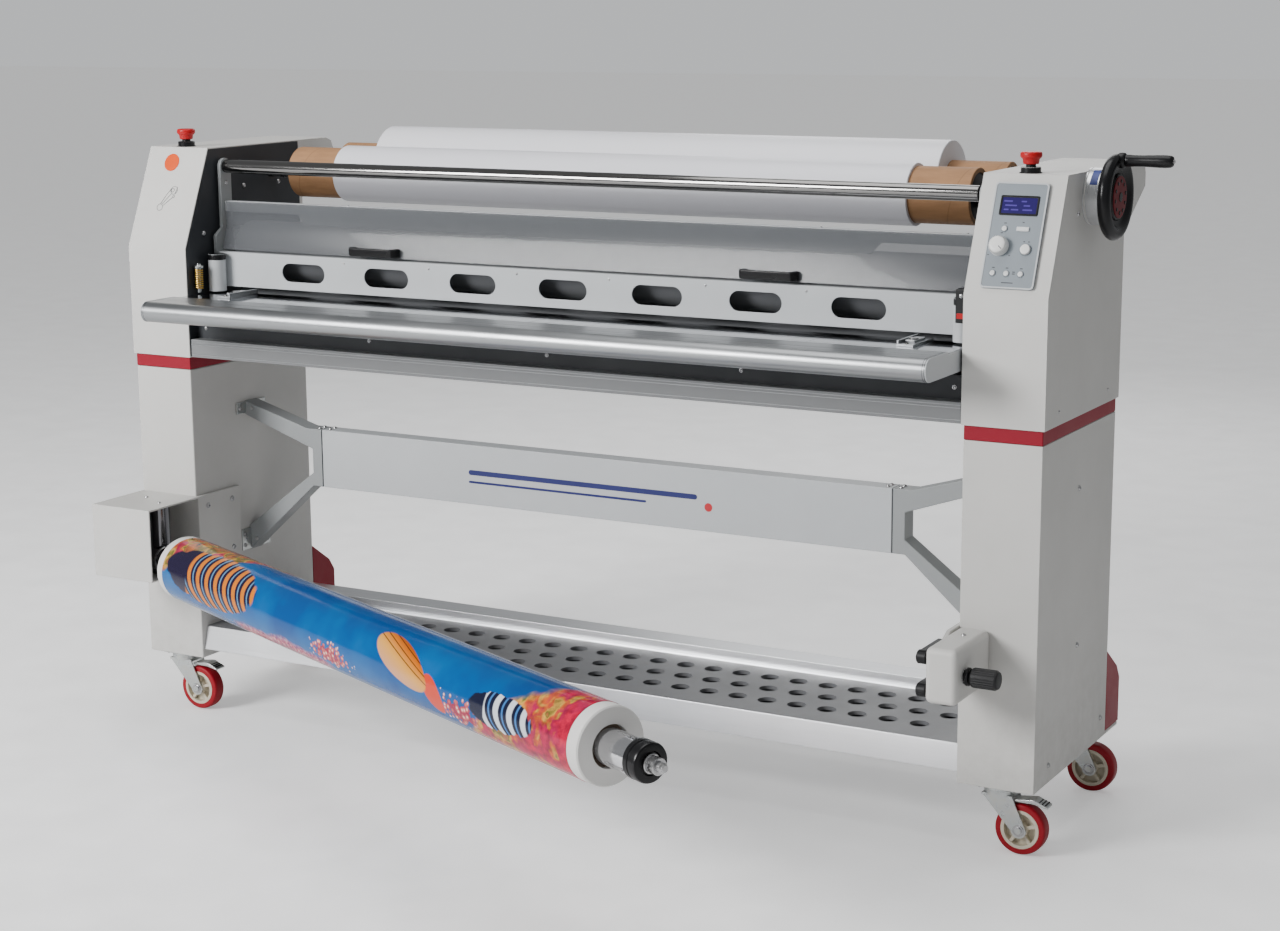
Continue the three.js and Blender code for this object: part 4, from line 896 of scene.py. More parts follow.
@dataclass(frozen=True)
class Display(Finish):
    """A lit liquid crystal display with a faint grid of dots."""

    glow: float = 0.55

    def dress(self, tree: Tree, shader: Node, place: Socket) -> None:
        """A deep glow that falls off unevenly, under a fine dot grid.

        Args:
            tree: The material's tree.
            shader: Its Principled shader.
            place: The object coordinates.
        """
        cells = add(tree, "TexVoronoi", {"Vector": place, "Scale": 1100.0, "Randomness": 0.0}, feature="F1")
        dots = remap(tree, cells.outputs["Distance"], 0.25, 0.5, 0.0, 0.35)
        base = blend(tree, dots, self.colour, shade(self.colour, 0.5))
        glow = blend(tree, noise(tree, place, 45.0, 2.0), base, shade(self.colour, 1.35))
        shader.inputs["Emission Strength"].default_value = self.glow
        self.link(tree, shader, Base_Color=base, Emission_Color=glow)


BODY = PowderCoat("light grey powder coat", "body_paint", (0.62, 0.61, 0.585), 0.48)
CRIMSON = PowderCoat("crimson powder coat", "red_paint", (0.27, 0.003, 0.018), 0.4, dust=0.12, shine=0.3)
CHARCOAL = PowderCoat("charcoal powder coat", "dark_paint", (0.022, 0.025, 0.03), 0.5)
MID_GREY = PowderCoat("mid grey powder coat", "grey_paint", (0.30, 0.315, 0.32), 0.42)
# Painted shade: a darker copy of the mid grey paint, for the channel in the shade under the feed table.
SHADED_CHANNEL_GREY = PowderCoat("channel grey powder coat", "grey_paint", (0.19, 0.195, 0.20), 0.42)
PALE_GREY = PowderCoat("pale grey powder coat", "pale_paint", (0.52, 0.54, 0.555), 0.4)
DECK_GREY = PowderCoat("dark metallic coat", "deck_paint", (0.15, 0.155, 0.165), 0.38)
ANODISED = BareMetal("silver anodised extrusion", "table_aluminium", (0.36, 0.37, 0.38), 0.33)
BRIGHT_RAIL = BareMetal(
    "bright shelf rail", "table_aluminium", (0.80, 0.81, 0.83), 0.34, lines=0.02, spread=0.02,
)
POLISHED_BED = BareMetal(
    "polished feed bed", "table_aluminium", (0.50, 0.51, 0.53), 0.07, lines=0.02, spread=0.02,
)
CHROME = BareMetal("polished chrome bar", "chrome", (0.24, 0.235, 0.23), 0.10, lines=0.02, spread=0.02)
TURNED = BareMetal("turned aluminium", "table_aluminium", (0.72, 0.73, 0.75), 0.26, (1.0, 0.03, 0.03))
TUBE_METAL = BareMetal("polished mandrel tube", "mandrel_tube", (0.80, 0.80, 0.82), 0.12, lines=0.03)
GUNMETAL = BareMetal("dark polished arm", "dark_paint", (0.16, 0.16, 0.17), 0.14, lines=0.03)
STEEL = Plated("plain machined steel", "zinc_plate", (0.50, 0.50, 0.51), 0.26, (0.42, 0.40, 0.36))
ZINC = Plated("zinc plated steel", "zinc_plate", (0.58, 0.60, 0.60), 0.3)
BRASS = Plated("yellow passivated spring", "zinc_plate", (0.72, 0.46, 0.10), 0.28, (0.50, 0.22, 0.06))
SILICONE = Moulding("grey roller rubber", "roller_rubber", (0.17, 0.175, 0.185), 0.42, 0.15, 500.0)
GLOSS_BLACK = Moulding("gloss black moulding", "black_plastic", (0.007, 0.007, 0.008), 0.26, 0.04, shine=0.3)
SATIN_BLACK = Moulding("satin black moulding", "black_plastic", (0.010, 0.010, 0.011), 0.42, 0.2, shine=0.3)
DEEP_RED = Moulding("deep red cap", "black_plastic", (0.13, 0.002, 0.006), 0.4, 0.08, shine=0.25)
STOP_RED = Moulding("signal red moulding", "estop_red", (0.50, 0.004, 0.008), 0.34, 0.04, shine=0.35)
KEY_SILVER = Moulding("silvery key", "key_plastic", (0.74, 0.75, 0.75), 0.3, 0.05)
KEY_WHITE = Moulding("white knob", "key_plastic", (0.82, 0.82, 0.80), 0.3, 0.05)
OVERLAY = Moulding("steel blue overlay", "panel_overlay", (0.235, 0.27, 0.30), 0.42, 0.12)
OVERLAY_EDGE = Moulding("darker overlay border", "panel_overlay", (0.16, 0.19, 0.22), 0.4, 0.1)
INK = Moulding("dark printing ink", "panel_overlay", (0.05, 0.055, 0.065), 0.45, 0.05)
NAVY_INK = Moulding("navy stripe", "panel_overlay", (0.03, 0.035, 0.15), 0.45, 0.05, shine=0.25)
RED_INK = Moulding("red mark", "estop_red", (0.55, 0.02, 0.03), 0.4, 0.05)
ORANGE = Moulding("orange badge", "estop_red", (0.80, 0.08, 0.0), 0.45, 0.05, shine=0.2)
BLUE_LABEL = Moulding("blue label", "panel_overlay", (0.01, 0.03, 0.22), 0.35, 0.05)
TREAD = Moulding("red caster tread", "caster_red", (0.30, 0.003, 0.012), 0.4, 0.15, 400.0, shine=0.3)
CREAM = Moulding("cream caster rim", "caster_red", (0.62, 0.56, 0.44), 0.42, 0.15)
BROWN_CARD = Moulding("brown card lining", "printed_film", (0.16, 0.11, 0.075), 0.7, 0.2, 400.0)
SCREEN = Display("violet display", "panel_overlay", (0.012, 0.004, 0.09), 0.2, 0.32)
SCREEN_MARK = Display("pale display marks", "panel_overlay", (0.05, 0.03, 0.22), 0.25, 0.8)
SMOKED = ClearSheet("clear guard sheet", "clear_sheet", (0.085, 0.09, 0.10), 0.12, shine=0.25)


# ------------------------------------------------------------------ shaping
class Form:
    """A piece of mesh being shaped, in millimetres."""

    def __init__(self) -> None:
        """Starts with nothing."""
        self.mesh = bmesh.new()

    @classmethod
    def of_node(cls, node: str, place: Matrix = SHOP) -> "Form":
        """A welded copy of a node of the frame, with flat areas made one face.

        Args:
            node: The node's name.
            place: The frame the copy is worked on in.

        Returns:
            The form.
        """
        form = cls()
        form.mesh.from_mesh(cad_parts[node].data)
        form.mesh.transform(place.inverted())
        bmesh.ops.remove_doubles(form.mesh, verts=form.mesh.verts, dist=WELD)
        bmesh.ops.dissolve_limit(
            form.mesh, angle_limit=math.radians(0.6), verts=form.mesh.verts, edges=form.mesh.edges,
        )
        return form

    def soften(
        self, width: float, steps: int = 2, limit: float = 28.0, faces: Iterable | None = None,
    ) -> "Form":
        """Rounds every edge sharper than a limit, as folding and deburring do.

        Args:
            width: How far the rounding reaches from each edge.
            steps: Segments across the rounding.
            limit: The least angle between faces that is rounded, in degrees.
            faces: Only these faces' edges, or all.

        Returns:
            The same form.
        """
        if width <= 0:
            return self
        chosen = set(self.mesh.edges) if faces is None else {e for f in faces for e in f.edges}
        sharp = [
            edge
            for edge in chosen
            if len(edge.link_faces) == 2 and edge.calc_face_angle(0) > math.radians(limit)
        ]
        bmesh.ops.bevel(
            self.mesh, geom=sharp, offset=width, offset_type="OFFSET", affect="EDGES", segments=steps,
            profile=0.5, material=-1, clamp_overlap=True,
        )
        return self

    def block(self, x: Point, y: Point, z: Point, soft: float = 0.0, steps: int = 2) -> "Form":
        """Adds a block between two limits on each axis, with rounded edges.

        Args:
            x: Its limits along x.
            y: Its limits along y.
            z: Its limits along z.
            soft: Width of the rounding.
            steps: Segments across the rounding.

        Returns:
            The same form.
        """
        centre = [(low + high) / 2 for low, high in (x, y, z)]
        size = [high - low for low, high in (x, y, z)]
        matrix = Matrix.Translation(centre) @ Matrix.Diagonal((*size, 1))
        made = bmesh.ops.create_cube(self.mesh, size=1.0, matrix=matrix)["verts"]
        return self.soften(soft, steps, faces={face for vert in made for face in vert.link_faces})

    def lathe(
        self, profile: Sequence[Point], axis: Axis, centre: Point = (0.0, 0.0), steps: int = 40
    ) -> "Form":
        """Spins a profile round an axis.

        Args:
            profile: Points of (radius, distance along the axis).
            axis: The direction of the axis.
            centre: Where the axis stands across its direction.
            steps: Segments round the turn.

        Returns:
            The same form.
        """
        u, v = centre
        verts = [self.mesh.verts.new(axis.spot(u + radius, v, at)) for radius, at in profile]
        edges = [self.mesh.edges.new(pair) for pair in zip(verts, verts[1:])]
        bmesh.ops.spin(
            self.mesh, geom=verts + edges, cent=axis.spot(u, v, 0), axis=axis.spot(0, 0, 1),
            angle=FULL_TURN, steps=steps, use_merge=True,
        )
        return self

    def rod(
        self, axis: Axis, centre: Point, radius: float, start: float, end: float,
        soft: float = 0.6, steps: int = 32,
    ) -> "Form":
        """Adds a round bar with softened rims.

        Args:
            axis: Its direction.
            centre: Where it stands across that direction.
            radius: Its radius.
            start: Where it starts.
            end: Where it ends.
            soft: Width of the rounding.
            steps: Segments round the turn.

        Returns:
            The same form.
        """
        turn = [
            (0, start), (radius - soft, start), (radius - soft * 0.3, start + soft * 0.3),
            (radius, start + soft), (radius, end - soft), (radius - soft * 0.3, end - soft * 0.3),
            (radius - soft, end), (0, end),
        ]
        return self.lathe(turn, axis, centre, steps)

    def ring(
        self, axis: Axis, centre: Point, inside: float, outside: float, start: float, end: float,
        soft: float = 0.6, steps: int = 40,
    ) -> "Form":
        """Adds a ring with a square bore and softened outer rims.

        Args:
            axis: Its direction.
            centre: Where it stands across that direction.
            inside: Radius of the bore.
            outside: Outside radius.
            start: Where it starts.
            end: Where it ends.
            soft: Width of the rounding.
            steps: Segments round the turn.

        Returns:
            The same form.
        """
        turn = [
            (inside, start), (outside - soft, start), (outside, start + soft),
            (outside, end - soft), (outside - soft, end), (inside, end), (inside, start),
        ]
        return self.lathe(turn, axis, centre, steps)

    def prism(
        self, outline: Sequence[Point], axis: Axis, start: float, end: float,
        holes: Sequence[Sequence[Point]] = (), soft: float = 0.0, steps: int = 2,
    ) -> "Form":
        """Pulls an outline, with any holes in it, along an axis.

        Args:
            outline: Corners across the axis.
            axis: The direction it is pulled.
            start: Where it starts along the axis.
            end: Where it ends.
            holes: Outlines left open.
            soft: Width of the rounding on its edges.
            steps: Segments across the rounding.

        Returns:
            The same form.
        """
        before = set(self.mesh.faces)
        edges = []
        for loop in (outline, *holes):
            verts = [self.mesh.verts.new(axis.spot(u, v, start)) for u, v in loop]
            edges += [self.mesh.edges.new(pair) for pair in zip(verts, verts[1:] + verts[:1])]
        if holes:
            made = bmesh.ops.triangle_fill(self.mesh, edges=edges, use_beauty=True)["geom"]
            flat = [item for item in made if isinstance(item, bmesh.types.BMFace)]
        else:
            flat = bmesh.ops.contextual_create(self.mesh, geom=edges)["faces"]
        pulled = bmesh.ops.extrude_face_region(self.mesh, geom=flat)["geom"]
        moved = [item for item in pulled if isinstance(item, bmesh.types.BMVert)]
        bmesh.ops.translate(self.mesh, verts=moved, vec=axis.spot(0, 0, end - start))
        return self.soften(soft, steps, faces=set(self.mesh.faces) - before)

    def pipe(self, path: Sequence[Vector], radius: float, sides: int = 12) -> "Form":
        """Adds a round bar along a path of points, closed at both ends.

        Args:
            path: The points of its middle line.
            radius: Its radius.
            sides: Flats round it.

        Returns:
            The same form.
        """
        rings = []
        for i, spot in enumerate(path):
            ahead = path[min(i + 1, len(path) - 1)] - path[max(i - 1, 0)]
            turn = ahead.to_track_quat("Z", "Y").to_matrix().to_4x4()
            ring = bmesh.ops.create_circle(
                self.mesh, cap_ends=i in (0, len(path) - 1), segments=sides, radius=radius,
                matrix=Matrix.Translation(spot) @ turn,
            )["verts"]
            own = set(ring)
            rings.append([e for v in ring for e in v.link_edges if e.other_vert(v) in own])
        for first, second in zip(rings, rings[1:]):
            bmesh.ops.bridge_loops(self.mesh, edges=list(set(first) | set(second)))
        return self

    def moved(self, matrix: Matrix) -> "Form":
        """Turns or shifts the whole form."""
        self.mesh.transform(matrix)
        return self

    def piece(
        self, name: str, body: str, finish: Finish, stands_for: Sequence[str] = (), place: Matrix = SHOP,
        side: Side = Side.RIGHT, smooth: float = 34.0,
    ) -> bpy.types.Object:
        """Makes the form a piece of the machine.

        Args:
            name: The piece's name.
            body: The body it rides on.
            finish: Its surface finish.
            stands_for: The nodes of the frame it replaces.
            place: The frame its millimetres are in.
            side: The left side turns it over.
            smooth: Edges sharper than this many degrees stay crisp.

        Returns:
            The new object.
        """
        bmesh.ops.remove_doubles(self.mesh, verts=self.mesh.verts, dist=WELD)
        if side.mirrored:
            bmesh.ops.scale(self.mesh, vec=(-1, 1, 1), verts=self.mesh.verts)
        self.mesh.transform(place)
        bmesh.ops.recalc_face_normals(self.mesh, faces=self.mesh.faces)
        data = bpy.data.meshes.new(name)
        self.mesh.to_mesh(data)
        self.mesh.free()
        data.shade_smooth()
        data.set_sharp_from_angle(angle=math.radians(smooth))
        made = bpy.data.objects.new(name, data)
        bpy.context.scene.collection.objects.link(made)
        data.materials.append(finish.material())
        even = made.modifiers.new("even normals", "WEIGHTED_NORMAL")
        even.keep_sharp = True
        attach(made, body)
        if stands_for:
            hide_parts(*stands_for)
        LOG.info("%s: %d faces on %s", name, len(data.polygons), body)
        return made


def oval(u: float, v: float, length: float, height: float, steps: int = 10) -> list[Point]:
    """A slot outline with half-round ends.

    Args:
        u: Across, first direction.
        v: Across, second direction.
        length: Its whole length.
        height: Its whole height.
        steps: Steps along each half-round end.

    Returns:
        Its corners.
    """
    radius, half = height / 2, length / 2 - height / 2
    arcs = []
    for side, start in ((1, -math.pi / 2), (-1, math.pi / 2)):
        for i in range(steps + 1):
            turn = start + math.pi * i / steps
            arcs.append((u + side * half + radius * math.cos(turn), v + radius * math.sin(turn)))
    return arcs


def circle(u: float, v: float, radius: float, steps: int = 24) -> list[Point]:
    """A round outline."""
    turns = [FULL_TURN * i / steps for i in range(steps)]
    return [(u + radius * math.cos(turn), v + radius * math.sin(turn)) for turn in turns]


def rounded(u: Point, v: Point, radius: float, steps: int = 6) -> list[Point]:
    """A rectangle outline with rounded corners.

    Args:
        u: Limits in the first direction.
        v: Limits in the second direction.
        radius: Radius of its corners.
        steps: Steps round each corner.

    Returns:
        Its corners.
    """
    corners = [
        (u[1] - radius, v[0] + radius, -math.pi / 2), (u[1] - radius, v[1] - radius, 0.0),
        (u[0] + radius, v[1] - radius, math.pi / 2), (u[0] + radius, v[0] + radius, math.pi),
    ]
    return [
        (
            cu + radius * math.cos(start + math.pi / 2 * i / steps),
            cv + radius * math.sin(start + math.pi / 2 * i / steps),
        )
        for cu, cv, start in corners
        for i in range(steps + 1)
    ]


def bolt(form: Form, axis: Axis, centre: Point, face: float, size: float, outward: int = 1) -> Form:
    """Adds a socket button screw on a washer.

    Args:
        form: The form it joins.
        axis: The screw's direction.
        centre: Where it stands across that direction.
        face: The surface it sits on.
        size: Its thread size.
        outward: Which way along the axis its head points.

    Returns:
        The same form.
    """
    step = outward * size
    washer = [
        (0, face), (size * 1.05, face), (size * 1.1, face + 0.05 * step), (size * 1.05, face + 0.16 * step),
    ]
    head = [
        (size * 0.88, face + 0.16 * step), (size * 0.86, face + 0.32 * step),
        (size * 0.70, face + 0.56 * step), (size * 0.42, face + 0.66 * step),
        (size * 0.36, face + 0.60 * step), (size * 0.34, face + 0.30 * step), (0, face + 0.30 * step),
    ]
    return form.lathe(washer + head, axis, centre, 20)


# ------------------------------------------------------------------ assemblies
@dataclass
class Cabinet:
    """One end of the machine: leg, band, head cover, inner plate, rear foot cover and stop button."""

    side: Side
    folds: float = 3.5
    head_folds: float = 4.0
    leg_screws: tuple[Point, ...] = ((209, 673), (223, 363), (381, 174), (77, 164))
    plate_screws: tuple[Point, ...] = ((30, 845), (205, 1180), (330, 1180), (330, 845), (60, 1085))
    stop_y: float = 112.0

    @property
    def tag(self) -> str:
        """The side's name at the end of each node."""
        return self.side.value

    def build(self) -> None:
        """Builds the whole cabinet."""
        self.leg()
        self.band()
        self.head()
        self.inner_plate()
        self.rear_cover()
        self.stop_button()

    def leg(self) -> None:
        """The folded sheet leg with its screws."""
        form = Form.of_node("leg_" + self.tag).soften(self.folds, 3)
        form.piece("leg_" + self.tag, "frame", BODY, ["leg_" + self.tag])
        screws = Form()
        for spot in self.leg_screws:
            bolt(screws, Axis.X, spot, OUTER, 5.6)
        screws.piece("leg_screws_" + self.tag, "frame", STEEL, side=self.side)

    def band(self) -> None:
        """The crimson band between leg and head."""
        form = Form.of_node("band_" + self.tag).soften(2.0, 2)
        form.piece("band_" + self.tag, "frame", CRIMSON, ["band_" + self.tag])

    def head(self) -> None:
        """The sloped head cover."""
        name = "head_cover_" + self.tag
        Form.of_node(name).soften(self.head_folds, 3).piece(name, "frame", BODY, [name])

    def inner_plate(self) -> None:
        """The charcoal plate on the roller side, with its screws."""
        name = "side_plate_" + self.tag
        Form.of_node(name).soften(0.8).piece(name, "frame", CHARCOAL, [name])
        screws = Form()
        for spot in self.plate_screws:
            bolt(screws, Axis.X, spot, HEAD_INNER - 1, 5.0, -1)
        screws.piece("plate_screws_" + self.tag, "frame", STEEL, side=self.side)

    def rear_cover(self) -> None:
        """The crimson cover behind the leg's foot."""
        name = "rear_foot_cover_" + self.tag
        Form.of_node(name).soften(3.0, 3).piece(name, "frame", CRIMSON, [name])

    def stop_button(self) -> None:
        """The red mushroom head on its black collar."""
        centre = (CABINET_X, self.stop_y)
        base = HEAD_TOP + 16
        head = [
            (0, HEAD_TOP - 2), (9, HEAD_TOP - 2), (9, base - 0.3), (12, base), (14.5, base + 1),
            (15.5, base + 9), (18.6, base + 12), (20, base + 14), (20, base + 19),
            (19.2, base + 21.2), (17.6, base + 22.4), (15, base + 22.9), (10, base + 22.6),
            (0, base + 22.4),
        ]
        button = Form().lathe(head, Axis.Z, centre, 48)
        button.piece(
            "stop_button_" + self.tag, "estop_" + self.tag, STOP_RED, ["estop_button_" + self.tag],
            side=self.side, smooth=45,
        )
        collar = Form().ring(Axis.Z, centre, 9.6, 18.5, HEAD_TOP + 0.2, HEAD_TOP + 11.3, 1.4, 48)
        neck = Form().ring(Axis.Z, centre, 8.8, 9.2, HEAD_TOP + 0.5, base - 0.4, 0.1, 48)
        neck.piece("stop_neck_" + self.tag, "estop_" + self.tag, SATIN_BLACK, side=self.side)
        collar.piece("stop_collar_" + self.tag, "frame", GLOSS_BLACK, side=self.side)
        edge = Form().ring(Axis.Z, centre, 18.2, 21.0, HEAD_TOP - 0.2, HEAD_TOP + 1.6, 0.6, 48)
        edge.piece("stop_ring_" + self.tag, "frame", SATIN_BLACK, side=self.side)


@dataclass
class Badge:
    """A round orange badge at the top of the left slope and a small printed outline below it."""

    badge: Point = (-10.0, 196.0)
    radius: float = 20.0

    def build(self) -> None:
        """Builds the badge and the printed lines."""
        form = Form().lathe(
            [(0, -0.2), (self.radius, -0.2), (self.radius, -0.9), (self.radius - 0.6, -1.2), (0, -1.2)],
            Axis.Y, self.badge, 56,
        )
        form.piece("round_badge", "frame", ORANGE, place=LEFT_SLOPE)
        self.line_figure()

    def line_figure(self) -> None:
        """Thin printed rings and joining lines."""
        form = Form()
        for u, v, radius in ((14, 132, 9.5), (10, 132, 4.5), (-16, 92, 8.0), (16, 118, 3.0)):
            form.ring(Axis.Y, (u, v), radius - 0.8, radius, -0.55, -0.25, 0.1, 36)
        for start, end in (
            ((-12, 99), (8, 124)), ((-8, 96), (14, 116)), ((-16, 100), (-4, 122)), ((-4, 122), (6, 136)),
            ((18, 124), (22, 140)),
        ):
            run = Vector((end[0] - start[0], end[1] - start[1]))
            side = Vector((-run.y, run.x)).normalized() * 0.45
            corners = [
                (start[0] + side.x, start[1] + side.y), (start[0] - side.x, start[1] - side.y),
                (end[0] - side.x, end[1] - side.y), (end[0] + side.x, end[1] + side.y),
            ]
            form.prism(corners, Axis.Y, -0.55, -0.25)
        form.piece("printed_figure", "frame", INK, place=LEFT_SLOPE)


@dataclass
class Controls:
    """The control panel on the right slope. Its x runs across, its z up the slope."""

    half_width: float = 51.0
    low: float = 14.0
    top: float = 214.0
    face: float = -5.3
    screen: tuple[Point, Point] = ((-37, 37), (151, 189))
    knob: Point = (-25, 92)
    knob_radius: float = 18.0
    jog: Point = (25, 88)
    rocker: Point = (14, 126)
    keys: dict[str, Point] = field(
        default_factory=lambda: {
            "run_key": (-30, 42), "stop_key": (-4, 42), "mode_key": (23, 42), "menu_key": (-21, 126),
        }
    )

    def build(self) -> None:
        """Builds the plate, the display, the knob, the keys and the printed marks."""
        self.plate()
        self.display()
        self.turning_knob()
        self.buttons()
        self.marks()

    def plate(self) -> None:
        """The overlay plate with its raised border."""
        u, v = (-self.half_width, self.half_width), (self.low, self.top)
        plate = Form().prism(rounded(u, v, 7), Axis.Y, self.face, -0.4, soft=0.9)
        plate.piece("panel_overlay", "frame", OVERLAY, ["control_panel"], PANEL)
        inner = rounded((u[0] + 3, u[1] - 3), (v[0] + 3, v[1] - 3), 5)
        rim = Form().prism(rounded(u, v, 7), Axis.Y, self.face - 0.9, self.face + 0.4, [inner], 0.35)
        rim.piece("panel_rim", "frame", PALE_GREY, place=PANEL)

    def display(self) -> None:
        """The lit display in its bezel, with a few pale bars on it."""
        (u0, u1), (v0, v1) = self.screen
        bezel = Form().prism(
            rounded((u0, u1), (v0, v1), 3), Axis.Y, self.face - 1.1, self.face + 0.2,
            [rounded((u0 + 4, u1 - 4), (v0 + 4, v1 - 4), 1.5)], 0.4,
        )
        bezel.piece("display_bezel", "frame", GLOSS_BLACK, place=PANEL)
        glass = Form().block((u0 + 3.5, u1 - 3.5), (self.face - 0.5, self.face + 0.1), (v0 + 3.5, v1 - 3.5))
        glass.piece("display_glass", "frame", SCREEN, place=PANEL)
        lit = Form()
        for u, v, length in (
            (-22, 178, 16), (8, 178, 10), (-16, 170, 22), (14, 170, 12), (-24, 162, 9), (-8, 162, 14),
            (16, 162, 18),
        ):
            lit.block(
                (u - length / 2, u + length / 2), (self.face - 0.62, self.face - 0.4), (v - 1.3, v + 1.3),
            )
        lit.piece("display_marks", "frame", SCREEN_MARK, place=PANEL)

    def turning_knob(self) -> None:
        """The white speed knob with a ribbed silver skirt and a pointer line."""
        face = self.face - 0.6
        r = self.knob_radius
        skirt = Form().lathe(
            [(0, face), (r - 0.4, face), (r, face - 0.6), (r, face - 4), (r - 1.2, face - 5), (0, face - 5)],
            Axis.Y, self.knob, 72,
        )
        skirt.piece("speed_knob_skirt", "speed_knob", KEY_SILVER, ["speed_knob"], PANEL)
        ribs = Form()
        u, v = self.knob
        for i in range(36):
            turn = FULL_TURN * i / 36
            spot = (u + (r - 1.2) * math.cos(turn), v + (r - 1.2) * math.sin(turn))
            ribs.lathe(
                [(0, face - 4), (0.8, face - 4.2), (0.8, face - 12.5), (0, face - 13.2)], Axis.Y, spot, 6,
            )
        ribs.piece("speed_knob_ribs", "speed_knob", KEY_SILVER, place=PANEL)
        cap = Form().lathe(
            [
                (0, face - 4), (r - 1.4, face - 4.5), (r - 2.2, face - 12.5),
                (r - 3.4, face - 15.2), (r - 6, face - 16.6), (r - 9, face - 16.9), (0, face - 16.4),
            ],
            Axis.Y,
            self.knob,
            64,
        )
        cap.piece("speed_knob_cap", "speed_knob", KEY_WHITE, place=PANEL)
        pointer = Form().block((u + 5, u + 13), (face - 17.1, face - 15.4), (v - 0.8, v + 0.8), 0.3, 1)
        turn = Matrix.Translation((u, 0, v)) @ Matrix.Rotation(math.radians(42), 4, "Y") @ Matrix.Translation(
            (-u, 0, -v)
        )
        pointer.moved(turn).piece("speed_knob_pointer", "speed_knob", INK, place=PANEL)

    def buttons(self) -> None:
        """The round button, the four keys and the rocker."""
        face = self.face - 6
        jog = Form().lathe(
            [(0, -2.3), (9.5, -2.3), (9.5, face + 2), (8.8, face + 0.6), (7.2, face + 0.1), (0, face + 0.5)],
            Axis.Y, self.jog, 48,
        )
        jog.piece("jog_button", "jog_button", KEY_WHITE, ["jog_button"], PANEL)
        around = Form().ring(Axis.Y, self.jog, 10.0, 11.6, self.face - 0.9, self.face + 0.2, 0.3, 48)
        for spot in self.keys.values():
            around.ring(Axis.Y, spot, 5.4, 6.6, self.face - 0.5, self.face + 0.2, 0.2, 36)
        around.piece("key_rings", "frame", OVERLAY_EDGE, place=PANEL)
        face = self.face - 3
        for node, spot in self.keys.items():
            key = Form().lathe(
                [(0, -2.3), (5, -2.3), (5, face + 1), (4.4, face + 0.2), (3.4, face), (0, face + 0.3)],
                Axis.Y, spot, 36,
            )
            key.piece(node, node, KEY_SILVER, [node], PANEL)
        u, v = self.rocker
        rocker = Form().block((u - 12, u + 12), (self.face - 3, self.face + 2), (v - 4, v + 4), 1.4, 3)
        rocker.piece("rocker_key", "rocker_key", KEY_SILVER, ["rocker_key"], PANEL)

    def marks(self) -> None:
        """Small printed ticks over the keys and short bars between them."""
        form = Form()
        spots = [(u, v + 10.5, 5.0) for u, v in self.keys.values()]
        spots += [(13, 139, 4.0), (20, 103, 3.0), (29, 103, 3.0), (-25, 118, 4.0), (-46, 92, 2.0)]
        spots += [(9.5, 42, 5.0), (9.5, 45.5, 5.0), (0, 25, 22.0), (-44, 76, 3.0), (-4, 76, 3.0)]
        for u, v, length in spots:
            form.block(
                (u - length / 2, u + length / 2), (self.face - 0.25, self.face + 0.1), (v - 0.9, v + 0.9),
            )
        form.piece("panel_marks", "frame", INK, place=PANEL)


